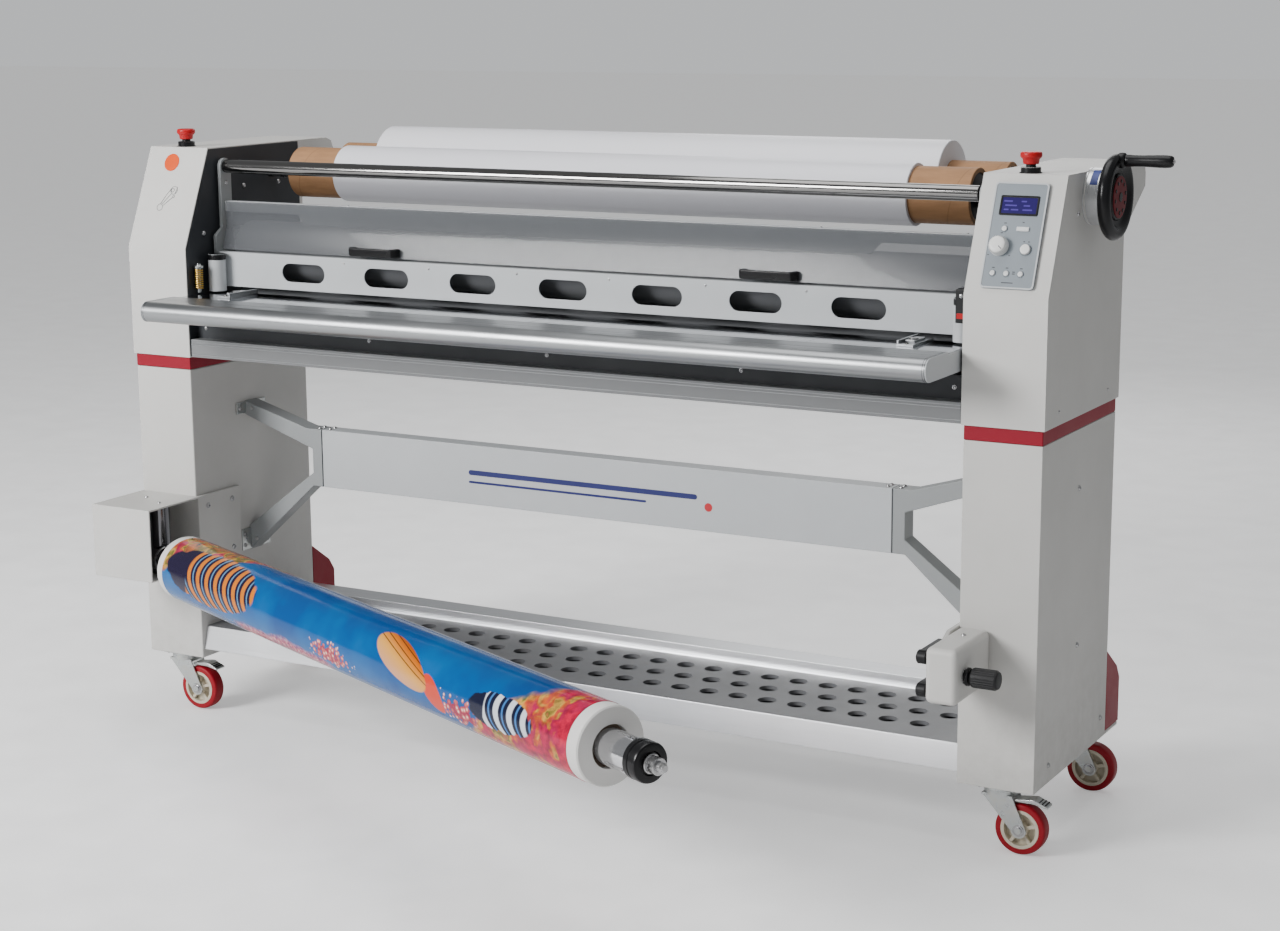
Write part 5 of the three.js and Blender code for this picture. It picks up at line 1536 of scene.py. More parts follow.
@dataclass
class Handwheel:
    """The roller lift's handwheel on its turned hub, with a crank grip near its rim."""

    centre: Point = (214.0, 1223.0)
    radius: float = 80.0
    start: float = 1101.0
    thickness: float = 24.0
    crank: float = 67.0

    def build(self) -> None:
        """Builds the hub, the wheel, the crank and the grip."""
        self.hub()
        self.wheel()
        self.grip()

    def hub(self) -> None:
        """The turned hub, its groove and a blue label round part of it."""
        turn = [
            (0, HEAD_OUTER + 0.2), (52.4, HEAD_OUTER + 0.2), (52.4, HEAD_OUTER + 3.0),
            (51.2, HEAD_OUTER + 3.4), (51.2, HEAD_OUTER + 5.0), (52.4, HEAD_OUTER + 5.4),
            (52.4, HEAD_OUTER + 32.6), (50.8, HEAD_OUTER + 34.2), (0, HEAD_OUTER + 34.2),
        ]
        form = Form().lathe(turn, Axis.X, self.centre, 96)
        form.piece("handwheel_hub", "frame", TURNED)
        u, v = self.centre
        turns = [math.radians(112 + 5 * i) for i in range(9)]
        arc = [(u + 52.9 * math.cos(a), v + 52.9 * math.sin(a)) for a in turns]
        arc += [(u + 52.2 * math.cos(a), v + 52.2 * math.sin(a)) for a in reversed(turns)]
        label = Form().prism(arc, Axis.X, HEAD_OUTER + 12, HEAD_OUTER + 26)
        label.piece("hub_label", "frame", BLUE_LABEL)
        screw = bolt(Form(), Axis.X, (145, 1196), HEAD_OUTER, 4.5)
        bolt(screw, Axis.X, (286, 1196), HEAD_OUTER, 4.5)
        for y in (70, 350):
            bolt(screw, Axis.X, (y, 842), HEAD_OUTER, 3.0)
        screw.piece("head_screws", "frame", STEEL)

    def wheel(self) -> None:
        """The black wheel with its thick rounded rim, web, nut and red disc."""
        back, r = self.start, self.radius
        face = back + self.thickness
        turn = [(0, back + 6), (54, back + 6), (60, back + 4), (64, back + 1.2), (r - 9, back)]
        round_back = [math.radians(15 * i) for i in range(1, 12)]
        turn += [(r - 12 + 12 * math.sin(a), back + 12 - 12 * math.cos(a)) for a in round_back]
        turn += [(r - 14, face), (r - 21, face - 1.6), (r - 26, face - 7), (r - 30, face - 9), (44, face - 9)]
        turn += [(42.5, face - 6), (41, face - 4.5), (0, face - 4.5)]
        form = Form().lathe(turn, Axis.X, self.centre, 96)
        form.piece("handwheel_rim", "handwheel", GLOSS_BLACK, ["handwheel"], smooth=40)
        disc = Form().lathe(
            [(0, face - 4.8), (39, face - 4.8), (39, face - 3.6), (37.4, face - 2.8), (0, face - 2.4)],
            Axis.X, self.centre, 64,
        )
        disc.piece("handwheel_disc", "handwheel", DEEP_RED)
        form = Form()
        for i in range(10):
            turn = FULL_TURN * i / 10 + 0.2
            spot = (self.centre[0] + 29 * math.cos(turn), self.centre[1] + 29 * math.sin(turn))
            form.lathe(
                [(0, face - 3.2), (3.6, face - 3.2), (3.4, face - 1.7), (0, face - 1.4)], Axis.X, spot, 12,
            )
        form.lathe(
            [(0, face - 3.2), (9, face - 3.2), (8.6, face - 1.4), (0, face - 1.0)], Axis.X, self.centre, 32,
        )
        form.piece("handwheel_studs", "handwheel", GLOSS_BLACK)

    def grip(self) -> None:
        """The crank's root on the rim and the turning grip beyond it."""
        u, v = self.centre
        v += self.crank
        face = self.start + self.thickness
        root = Form().lathe(
            [
                (0, face - 7), (14, face - 7), (14.8, face - 2), (14.2, face + 2.6), (12.2, face + 5.2),
                (0, face + 5.2),
            ],
            Axis.X,
            (u, v),
            48,
        )
        root.piece("crank_root", "handwheel", GLOSS_BLACK)
        start = face + 5.6
        turn = [
            (0, start), (10.6, start), (11.4, start + 1.6), (11.2, start + 8), (10.6, start + 16),
            (10.6, start + 30), (11.3, start + 48), (11.9, start + 64), (12.0, start + 74),
            (11.2, start + 83), (9.0, start + 87.4), (6.0, start + 88.4), (4.6, start + 88.4),
            (4.4, start + 87.2), (0, start + 87.2),
        ]
        form = Form().lathe(turn, Axis.X, (u, v), 48)
        form.piece("crank_grip", "crank_grip", GLOSS_BLACK, ["crank_grip"], smooth=50)
        tip = Form().lathe(
            [(0, start + 86), (3.6, start + 86), (3.6, start + 90), (2.8, start + 91), (0, start + 91)],
            Axis.X, (u, v), 24,
        )
        tip.piece("crank_pin", "handwheel", STEEL)


@dataclass
class Topworks:
    """What stands between the heads at the front: idler, arms, cover bar, guards and sensor."""

    arm_inner: float = 889.0
    idler: Point = (125.0, 1228.0)
    idler_radius: float = 15.0
    guard: tuple[Point, Point] = ((89, 106), (967, 1043))
    slot_pitch: float = 219.0
    slots: int = 7
    sheet_half: float = 879.0
    handle_x: float = 467.0

    def build(self) -> None:
        """Builds every piece from the top down."""
        self.idler_bar()
        for side in Side:
            self.arm(side)
        self.cover_bar()
        self.clear_guard()
        self.slotted_guard()
        self.sensor()

    def idler_bar(self) -> None:
        """The chrome bar with its stepped ends."""
        end, step = 899.0, 884.0
        r = self.idler_radius
        half = [(0, end), (7.4, end), (8, end - 0.6), (8, step), (r - 1, step), (r, step - 1)]
        turn = [(radius, -at) for radius, at in half] + list(reversed(half))
        form = Form().lathe(turn, Axis.X, self.idler, 56)
        form.piece("idler_bar", "idler", CHROME, ["idler_bar"])

    def arm(self, side: Side) -> None:
        """One upright arm with its bearing, bolts and post, and a spring on the left one.

        Args:
            side: Which end of the machine.
        """
        tag = side.value
        name = "cover_arm_" + tag
        Form.of_node(name).soften(0.9).piece(name, "frame", MID_GREY, [name])
        x = self.arm_inner
        bearing = Form().ring(Axis.X, self.idler, 8.2, 13.5, x - 3.4, x + 0.4, 0.8)
        bearing.piece("idler_bearing_" + tag, "frame", GLOSS_BLACK, side=side)
        screws = Form()
        for spot, size in (
            ((125, 1192), 4.5), ((125, 1096), 5.0), ((132, 1050), 5.0), ((100, 988), 6.0),
            ((132, 988), 5.0),
        ):
            bolt(screws, Axis.X, spot, x, size, -1)
        screws.piece("arm_screws_" + tag, "frame", STEEL, side=side)
        post = (x + 8 - 19, 69.0)
        sleeve = Form().lathe(
            [(0, 959), (19.4, 959), (19.4, 1026), (18.4, 1028), (0, 1028)], Axis.Z, post, 48,
        )
        sleeve.piece("arm_post_" + tag, "frame", PALE_GREY, side=side)
        cap = Form().lathe(
            [(0, 1026), (18.2, 1026), (19.4, 1028), (19.4, 1038), (18, 1040.4), (9, 1041), (0, 1041)],
            Axis.Z, post, 48,
        )
        cap.piece("arm_post_cap_" + tag, "frame", GLOSS_BLACK, side=side)
        if side is Side.LEFT:
            self.spring(side)

    def spring(self, side: Side) -> None:
        """A coiled spring on a stem beside the arm.

        Args:
            side: Which end of the machine.
        """
        u, v, r = 893.0, 24.0, 8.0
        turns, steps = 9, 20
        path = [
            Vector(
                (
                    u + r * math.cos(FULL_TURN * i / steps), v + r * math.sin(FULL_TURN * i / steps),
                    966 + 44 * i / (turns * steps),
                )
            )
            for i in range(turns * steps + 1)
        ]
        Form().pipe(path, 1.7, 8).piece("arm_spring", "frame", BRASS, side=side)
        stem = Form().rod(Axis.Z, (u, v), 4.5, 958.6, 1022, 1.0, 24)
        stem.lathe([(0, 1012), (9.5, 1012), (10, 1013), (10, 1017), (9, 1018), (0, 1018)], Axis.Z, (u, v), 32)
        stem.piece("arm_spring_stem", "frame", ZINC, side=side)

    def cover_bar(self) -> None:
        """The flat bar whose middle part hangs lower, with screws along its edge."""
        Form.of_node("cover_bar").soften(0.8).piece("cover_bar", "frame", PALE_GREY, ["cover_bar"])
        screws = Form()
        for x in (-860, -560, 560, 860):
            bolt(screws, Axis.Z, (x, 127), 1152, 3.2)
        screws.piece("cover_bar_screws", "frame", STEEL)

    def clear_guard(self) -> None:
        """The bent clear sheet and its two black pull handles."""
        outline = [(92, 1048), (96, 1048), (112, 1100), (112, 1152), (108, 1152), (108, 1100)]
        form = Form().prism(outline, Axis.X, -self.sheet_half, self.sheet_half, soft=0.8)
        form.piece("clear_guard_sheet", "clear_guard", SMOKED, ["clear_guard"])
        grips, feet = Form(), Form()
        for x in (-self.handle_x, self.handle_x):
            shape = [
                (x - 62, 98), (x - 62, 82), (x - 54, 73), (x + 54, 73), (x + 62, 82), (x + 62, 98),
                (x + 50, 98), (x + 50, 86), (x + 44, 80), (x - 44, 80), (x - 50, 86), (x - 50, 98),
            ]
            grips.prism(shape, Axis.Z, 1051, 1069, soft=2.6, steps=3)
            for u in (x - 56, x + 56):
                feet.ring(Axis.Y, (u, 1060), 2.0, 5.5, 95, 99.5, 0.8, 24)
        grips.piece("guard_handles", "clear_guard", GLOSS_BLACK)
        feet.piece("guard_handle_feet", "clear_guard", STEEL)

    def slotted_guard(self) -> None:
        """The folded guard with round-ended slots and small screws between them."""
        (y0, y1), (z0, z1) = self.guard
        half = self.arm_inner - 0.3
        middle = (z0 + z1) / 2
        places = [(i - (self.slots - 1) / 2) * self.slot_pitch for i in range(self.slots)]
        holes = [oval(x, middle, 114, 40) for x in places]
        face = [(-half, z0), (half, z0), (half, z1), (-half, z1)]
        form = Form().prism(face, Axis.Y, y0, y0 + 3, holes, 0.7)
        form.block((-half, half), (y0 + 0.4, y1), (z1 - 3, z1 - 0.05), 0.7)
        form.block((-half, half), (y0 + 0.4, y1), (z0 + 0.05, z0 + 3), 0.7)
        form.piece("slotted_guard", "frame", PALE_GREY, ["slotted_guard"])
        screws = Form()
        for i in range(-3, 3):
            bolt(screws, Axis.Y, ((i + 0.5) * self.slot_pitch, z1 - 11), y0, 2.6, -1)
        screws.piece("guard_screws", "frame", STEEL)

    def sensor(self) -> None:
        """The light sensor on the right inner plate: body, red window and two screws."""
        body = Form().block((880.6, 904.4), (18.6, 49.4), (999.6, 1062.4), 2.0, 3)
        body.piece("sensor_body", "frame", SATIN_BLACK)
        window = Form().block((878.8, 881.5), (26, 42), (1034, 1052), 0.8)
        window.block((884, 898), (17.0, 20), (1008, 1018), 0.5)
        window.piece("sensor_window", "frame", STOP_RED)
        screws = bolt(Form(), Axis.X, (34, 1024), 880.6, 4.5, -1)
        bolt(screws, Axis.X, (34, 1008), 880.6, 4.5, -1)
        bolt(screws, Axis.Y, (892, 1050), 18.6, 3.6, -1)
        screws.piece("sensor_screws", "frame", STEEL)


@dataclass
class Rolls:
    """The two nip rollers, their blocks and gear, and the two wound film rolls."""

    nip_radius: float = 65.0
    nip_y: float = 182.0
    nip_half: float = 867.0
    journal_end: float = 951.0
    film_half: float = 685.0
    core_half: float = 813.0
    axle_half: float = 939.0

    def build(self) -> None:
        """Builds the rollers first and the rolls above them next."""
        self.roller("top", 1040.3)
        self.roller("bottom", 909.7)
        self.blocks()
        self.supply("front", (305, 1206), 62, 56)
        self.supply("rear", (484, 1218), 84, 44)
        self.drive()

    def roller(self, which: str, z: float) -> None:
        """One rubber roller with steel ends and journals.

        Args:
            which: Top or bottom.
            z: Height of its axis.
        """
        centre = (self.nip_y, z)
        r, half = self.nip_radius, self.nip_half
        rubber = Form().rod(Axis.X, centre, r, -half, half, 3.0, 96)
        body = which + "_roller"
        node = which + "_nip_roller"
        rubber.piece(which + "_roller_rubber", body, SILICONE, [node])
        ends = Form()
        for sign in (-1, 1):
            reach = [
                (0, half - 1), (34, half - 1), (34, half + 3), (20, half + 4), (20, self.journal_end - 1),
                (19, self.journal_end), (0, self.journal_end),
            ]
            ends.lathe([(radius, sign * at) for radius, at in reach], Axis.X, centre, 48)
        ends.piece(which + "_roller_journals", body, STEEL)
        if which == "bottom":
            gear = Form.of_node(node)
            outside = [v for v in gear.mesh.verts if v.co.x < 916.5 or v.co.x > 933.5]
            bmesh.ops.delete(gear.mesh, geom=outside, context="VERTS")
            gear.piece("roller_gear", body, STEEL, smooth=25)

    def blocks(self) -> None:
        """The sliding bearing blocks of the top roller."""
        for side in Side:
            name = "roller_block_" + side.value
            Form.of_node(name).soften(1.5).piece(name, "roller_carriage", ZINC, [name])

    def supply(self, which: str, centre: Point, radius: float, core: float) -> None:
        """One film roll on a card core with its steel axle.

        Args:
            which: Front or rear.
            centre: Its axis.
            radius: Outside radius of the film.
            core: Outside radius of the card core.
        """
        body = which + "_roll"
        spot = tuple(SHOP @ Vector((0, *centre)))
        white = (0.78, 0.78, 0.83) if which == "front" else (0.82, 0.82, 0.86)
        film = WoundFilm(which + " wound film", "white_film", white, 0.34, spot)
        card = KraftTube(which + " kraft core", "white_film", (0.38, 0.205, 0.10), 0.62, spot, shine=0.25)
        half = self.film_half
        turn = [
            (core - 0.6, -half), (radius - 1.2, -half), (radius, -half + 1.2), (radius, half - 1.2),
            (radius - 1.2, half), (core - 0.6, half),
        ]
        Form().lathe(turn, Axis.X, centre, 128).piece(which + "_film", body, film, [which + "_supply_roll"])
        wall = 9.0
        tube = Form().ring(Axis.X, centre, core - wall, core, -self.core_half, self.core_half, 1.0, 96)
        tube.piece(which + "_core", body, card)
        chucks, axle = Form(), Form()
        axle.rod(Axis.X, centre, 14, -self.axle_half, self.axle_half, 1.2, 40)
        for sign in (-1, 1):
            end = self.core_half
            turn = [
                (14, end - 26), (core - wall, end - 26), (core - wall, end - 3), (core - wall - 4, end - 1),
                (24, end + 2), (24, end + 14), (14, end + 14),
            ]
            chucks.lathe([(r, sign * at) for r, at in turn], Axis.X, centre, 64)
        chucks.piece(which + "_chucks", body, SATIN_BLACK)
        axle.piece(which + "_axle", body, STEEL)

    def drive(self) -> None:
        """The motor and pinion inside the right head."""
        Form.of_node("drive_motor").soften(1.5).piece("drive_motor", "frame", SATIN_BLACK, ["drive_motor"])
        Form.of_node("motor_pinion").piece("motor_pinion", "pinion", STEEL, ["motor_pinion"], smooth=25)


@dataclass
class FeedTable:
    """The extruded feed table with its rounded nose, polished bed and two media stops."""

    half: float = 900.0
    front: float = -165.0
    top: float = 958.0
    nose: float = 22.0
    land: float = -60.0
    bed: float = 955.0
    rear: float = 86.0
    skirt: float = 14.0
    depth: float = 44.0

    def build(self) -> None:
        """Builds the nose, the bed, the end caps and the stops."""
        self.extrusion()
        self.bed_plate()
        self.end_caps()
        for side in Side:
            self.stop(side)

    def section(self, inset: float = 0.0) -> list[Point]:
        """The extrusion's outline across x, pulled in by a margin.

        Args:
            inset: The margin.

        Returns:
            Its corners.
        """
        r = self.nose - inset
        centre = (self.front + self.nose, self.top - self.nose)
        turns = [math.pi / 2 + math.pi * i / 20 for i in range(21)]
        nose = [(centre[0] + r * math.cos(a), centre[1] + r * math.sin(a)) for a in turns]
        low = self.top - 2 * self.nose + inset
        return [
            *nose, (self.skirt - inset, low), (self.skirt - inset, self.bed - 12 + inset),
            (self.rear - inset, self.bed - 12 + inset), (self.rear - inset, self.bed - 1.2),
            (self.land + 1.5, self.bed - 1.2), (self.land + 1.5, self.top - inset),
        ]

    def extrusion(self) -> None:
        """The extrusion, with fine grooves under its nose."""
        form = Form().prism(self.section(), Axis.X, -self.half + 2.2, self.half - 2.2)
        form.piece("feed_table", "frame", ANODISED, ["feed_table"], smooth=30)
        grooves = Form()
        for y in (-118, -92, -66, -40):
            grooves.block(
                (-self.half + 3, self.half - 3), (y, y + 3),
                (self.top - 2 * self.nose - 0.05, self.top - 2 * self.nose + 0.3),
            )
        grooves.piece("feed_table_grooves", "frame", CHARCOAL)
        seam = Form()
        for y in (-64.0, -108.0):
            seam.block((-self.half + 3, self.half - 3), (y, y + 1.1), (self.top - 0.4, self.top + 0.05))
        seam.piece("feed_table_lines", "frame", CHARCOAL)

    def bed_plate(self) -> None:
        """The polished bed between the land and the rollers, with thin joints across it."""
        form = Form().block(
            (-self.half + 3, self.half - 3), (self.land + 2, self.rear - 0.4), (self.bed - 1.4, self.bed),
            0.4,
        )
        form.piece("feed_bed", "frame", POLISHED_BED)
        lines = Form()
        for x in (-608, -304, 0, 304, 608):
            lines.block((x - 0.5, x + 0.5), (self.land + 4, self.rear - 2), (self.bed - 0.2, self.bed + 0.06))
        for y in (-30, 4, 38):
            lines.block(
                (-self.half + 6, self.half - 6), (y - 0.4, y + 0.4), (self.bed - 0.2, self.bed + 0.06),
            )
        lines.piece("feed_bed_lines", "frame", CHARCOAL)

    def end_caps(self) -> None:
        """The cast caps that close the extrusion's ends."""
        form = Form()
        for start, end in ((-self.half, -self.half + 2.4), (self.half - 2.4, self.half)):
            form.prism(self.section(0.0), Axis.X, start, end, soft=0.7)
        form.piece("feed_table_caps", "frame", PALE_GREY)
        joints = Form()
        for x in (self.half - 7.5, self.half - 3.4, -self.half + 7.5, -self.half + 3.4):
            joints.prism(self.section(-0.12), Axis.X, x - 0.45, x + 0.45)
        joints.piece("feed_table_joints", "frame", CHARCOAL, smooth=30)

    def stop(self, side: Side) -> None:
        """A media stop: a slider block with a clamp screw and an upright edge.

        Args:
            side: Which end of the machine.
        """
        form = Form().block((779.5, 812.5), (-13.5, 85.5), (self.bed + 0.1, self.bed + 4.2), 0.6)
        form.block((786, 806), (10, 62), (self.bed + 4, self.bed + 9), 1.2, 3)
        form.block((779.8, 784), (-13, 85), (self.bed + 4, self.bed + 10.8), 0.6)
        form.piece("media_stop_" + side.value, "frame", ANODISED, side=side)
        nut = Form().lathe(
            [
                (0, self.bed + 8.6), (8.6, self.bed + 8.6), (9.0, self.bed + 9.0), (9.0, self.bed + 10.6),
                (8.2, self.bed + 11.0), (0, self.bed + 11.0),
            ],
            Axis.Z,
            (796, 30),
            40,
        )
        bolt(nut, Axis.Z, (796, -4), self.bed + 4.2, 3.6)
        nut.piece("media_stop_nut_" + side.value, "frame", CHROME, side=side)


@dataclass
class CrossMembers:
    """What ties the two legs together: channel, beam with brackets, and foot shelf."""

    half: float = 903.7
    beam: tuple[Point, Point] = ((182, 226), (511, 642))
    beam_half: float = 691.7
    rail_half: float = 908.7

    def build(self) -> None:
        """Builds them from the top down."""
        self.channel()
        self.stretcher()
        for side in Side:
            self.bracket(side)
        self.shelf()

    def channel(self) -> None:
        """The folded channel and the dark panel set back under the table, with ribs along it."""
        # Painted shade: the channel's grey is darkened for the shade under the feed table.
        form = Form.of_node("cross_channel").soften(1.6, 3)
        form.piece("cross_channel", "frame", SHADED_CHANNEL_GREY, ["cross_channel"])
        panel = Form().block((-self.half, self.half), (24.6, 26.4), (857.2, 902.6), 0.4)
        panel.piece("channel_panel", "frame", CHARCOAL)
        ribs = Form()
        for z in (823.5, 846.0, 851.5):
            ribs.block((-self.half + 1, self.half - 1), (-0.7, 0.4), (z - 0.9, z + 0.9), 0.3, 1)
        ribs.piece("channel_ribs", "frame", ANODISED)
        screws = Form()
        for x in (-880, -440, 0, 440, 880):
            bolt(screws, Axis.Y, (x, 880), 24.6, 4.0, -1)
        screws.piece("channel_screws", "frame", STEEL)

    def stretcher(self) -> None:
        """The boxed beam with a navy stripe and a red dot printed on its face."""
        form = Form.of_node("stretcher_beam").soften(2.2, 3)
        form.piece("stretcher_beam", "frame", PALE_GREY, ["stretcher_beam"])
        (y0, _), (z0, z1) = self.beam
        stripe = Form().prism(oval(-20, (z0 + z1) / 2 + 5, 560, 11), Axis.Y, y0 - 0.3, y0 + 0.2)
        stripe.prism(oval(-80, (z0 + z1) / 2 - 16, 440, 5), Axis.Y, y0 - 0.3, y0 + 0.2)
        stripe.piece("beam_stripe", "frame", NAVY_INK)
        dot = Form().prism(circle(286, (z0 + z1) / 2 - 14, 9, 36), Axis.Y, y0 - 0.3, y0 + 0.2)
        dot.piece("beam_dot", "frame", RED_INK)

    def bracket(self, side: Side) -> None:
        """A forked bracket with a dark window edge and the screws that hold it.

        Args:
            side: Which end of the machine.
        """
        name = "beam_bracket_" + side.value
        Form.of_node(name).soften(1.8, 3).piece(name, "frame", MID_GREY, [name])
        screws = Form()
        y0 = self.beam[0][0]
        for x in (678, 706):
            for z in (642,):
                bolt(screws, Axis.Z, (x, 196), z, 5.0)
                bolt(screws, Axis.Z, (x, 213), z, 5.0)
            bolt(screws, Axis.Z, (x, 204), 511, 5.0, -1)
        for z in (676, 372):
            bolt(screws, Axis.Y, (888, z), y0, 4.5, -1)
        screws.piece("bracket_screws_" + side.value, "frame", STEEL, side=side)
        edge = Form().block((692.4, 694.0), (y0 - 0.4, y0 + 44.2), (511.4, 641.6))
        edge.piece("bracket_joint_" + side.value, "frame", CHARCOAL, side=side)
        tab = Form().block((904.6, 908.4), (150, 252), (664, 690), 1.0)
        tab.block((904.6, 908.4), (150, 252), (346, 396), 1.0)
        tab.piece("bracket_feet_" + side.value, "frame", ZINC, side=side)
        feet = Form()
        for y in (160, 243):
            for z in (677, 358, 384):
                bolt(feet, Axis.X, (y, z), 904.6, 5.0, -1)
        feet.piece("bracket_foot_screws_" + side.value, "frame", STEEL, side=side)

    def shelf(self) -> None:
        """The bright rails, the dark deck with three staggered rows of round holes, and a dark sheet of
        painted shade under them.
        """
        rail = Form.of_node("shelf_front_rail").soften(1.4, 3)
        rail.piece("shelf_front_rail", "frame", BRIGHT_RAIL, ["shelf_front_rail"])
        rear = Form.of_node("shelf_rear_rail").soften(0.9, 2)
        rear.piece("shelf_rear_rail", "frame", BRIGHT_RAIL, ["shelf_rear_rail"])
        holes, rims = [], Form()
        pitch, half = 66.0, self.rail_half
        per_row = math.floor(2 * half / pitch) - 1
        for row, y in enumerate((98, 172, 246)):
            shift, count = (0.0, per_row) if row % 2 else (pitch / 2, per_row - 1)
            for i in range(count):
                x = shift + (i - (per_row - 1) / 2) * pitch
                holes.append(circle(x, y, 19.5, 28))
                rims.ring(Axis.Z, (x, y), 18.9, 20.6, 192.5, 200.4, 0.4, 28)
        deck = [(-half, 21.6), (half, 21.6), (half, 307.6), (-half, 307.6)]
        form = Form().prism(deck, Axis.Z, 197, 200, holes)
        form.piece("shelf_deck", "frame", DECK_GREY, ["shelf_deck"])
        rims.piece("shelf_hole_rims", "frame", DECK_GREY)
        # Painted shade: a dark sheet under the deck, seen through its holes as the shade beneath the shelf.
        shade_sheet = Form().block((-half, half), (44, 304), (186, 188), 0.4)
        shade_sheet.piece("shelf_shade_sheet", "frame", CHARCOAL)


@dataclass
class Mandrel:
    """The swing-out mandrel on the left leg, drawn swung open, with the print on it."""

    arm_end: float = 116.0
    tube: float = 32.0
    roll: tuple[float, float] = (122.0, 1690.0)
    roll_radius: float = 70.0
    cap: tuple[float, float] = (1766.0, 1800.0)
    tip: float = 1837.0

    def build(self) -> None:
        """Builds the housing, the arm, the tube, the roll and the tip."""
        self.housing()
        self.arm()
        self.shaft()
        self.print_roll()

    def housing(self) -> None:
        """The folded housing, its flange screws and the pivot's cap."""
        form = Form.of_node("mandrel_housing").soften(9.0, 5)
        form.piece("mandrel_housing", "frame", BODY, ["mandrel_housing"])
        screws = Form()
        for spot in ((28, 366), (28, 478), (112, 366), (112, 478)):
            bolt(screws, Axis.X, spot, -899, 6.5)
        for spot in ((-935, -94), (-1000, -60)):
            bolt(screws, Axis.Z, spot, 503, 4.5)
        screws.piece("housing_screws", "frame", STEEL)

    def arm(self) -> None:
        """The pivot barrel and the arm that carries the tube."""
        form = Form.of_node("swing_arm", MANDREL).soften(1.4, 2)
        form.piece("swing_arm", "swing_arm", GUNMETAL, ["swing_arm"], MANDREL)
        collar = Form()
        for start in (30, 62, 94):
            collar.ring(Axis.X, (0, 0), 31.6, 33.2, start, start + 8, 0.8, 64)
        collar.piece("swing_arm_collars", "swing_arm", STEEL, place=MANDREL)
        screws = Form()
        for turn in (0.4, 2.5, 4.6):
            spot = (22 * math.cos(turn), 22 * math.sin(turn))
            screws.rod(Axis.X, spot, 3.4, self.arm_end - 1, self.arm_end + 0.6, 0.4, 16)
        screws.piece("swing_arm_screws", "swing_arm", STEEL, place=MANDREL)

    def shaft(self) -> None:
        """The tube, the black cap and the stepped steel tip."""
        start = self.arm_end + 1.2
        turn = [
            (0, start - 50), (14.6, start - 50), (14.6, start), (self.tube - 1, start),
            (self.tube, start + 1), (self.tube, self.cap[0]), (0, self.cap[0]),
        ]
        tube = Form().lathe(turn, Axis.X, steps=72)
        tube.piece("mandrel_tube", "mandrel", TUBE_METAL, ["mandrel_shaft"], MANDREL)
        r, (low, high) = 35.0, self.cap
        turn = [(0, low), (r - 2, low), (r, low + 2), (r, low + 12), (r - 1.5, low + 13), (r - 1.5, low + 15)]
        turn += [
            (r, low + 16), (r, high - 5), (r - 1.4, high - 1.6), (r - 4.5, high), (21, high),
            (19, high - 4), (0, high - 4),
        ]
        cap = Form().lathe(turn, Axis.X, steps=72)
        cap.piece("mandrel_cap", "mandrel", GLOSS_BLACK, place=MANDREL)
        turn = [
            (0, high - 6), (17, high - 6), (17, high + 2), (15.6, high + 3.4), (13, high + 3.4),
            (13, high + 8),
        ]
        turn += [
            (14.8, high + 9), (14.8, high + 21), (13.6, high + 22.4), (9.4, high + 22.4),
            (9.4, self.tip - 6), (6.5, self.tip - 3),
        ]
        turn += [(6.5, self.tip - 1), (5.6, self.tip), (0, self.tip)]
        tip = Form().lathe(turn, Axis.X, steps=48)
        tip.piece("mandrel_tip", "mandrel", STEEL, place=MANDREL)
        keys = Form()
        for i in range(3):
            keys.prism(rounded((-3, 3), (30, 33.4), 1, 3), Axis.X, self.roll[1] + 22, self.cap[0] - 6)
            keys.moved(Matrix.Rotation(FULL_TURN / 3, 4, "X"))
        keys.piece("mandrel_keys", "mandrel", STEEL, place=MANDREL)

    def print_roll(self) -> None:
        """The printed film on its thick card tube, with plain rims at both ends."""
        low, high = self.roll
        r = self.roll_radius
        spot = tuple(MANDREL @ Vector((0, 0, 0)))
        printed = PrintedFilm(
            "abstract print", "printed_film", (0.0, 0.1, 0.3), 0.12, spot, -SWING, r * MM, shine=0.2,
        )
        ends = WoundFilm(
            "card tube ends", "printed_film", (0.76, 0.75, 0.73), 0.6, spot, -SWING, (0.55, 0.53, 0.5),
        )
        film = Form().lathe(
            [(r - 1.4, low + 26), (r, low + 26), (r, high - 30), (r - 1.4, high - 30)], Axis.X, steps=128,
        )
        film.piece("print_film", "mandrel", printed, place=MANDREL)
        card = Form().ring(Axis.X, (0, 0), self.tube + 6, r - 0.7, low, high, 2.4, 128)
        card.piece("print_tube", "mandrel", ends, ["print_roll"], MANDREL)
        bush = Form().ring(Axis.X, (0, 0), self.tube + 0.3, self.tube + 6.4, low + 2, low + 20, 0.6, 64)
        bush.ring(Axis.X, (0, 0), self.tube + 0.3, self.tube + 6.4, high - 34, high - 14, 0.6, 64)
        bush.piece("print_bushes", "mandrel", BROWN_CARD, place=MANDREL)


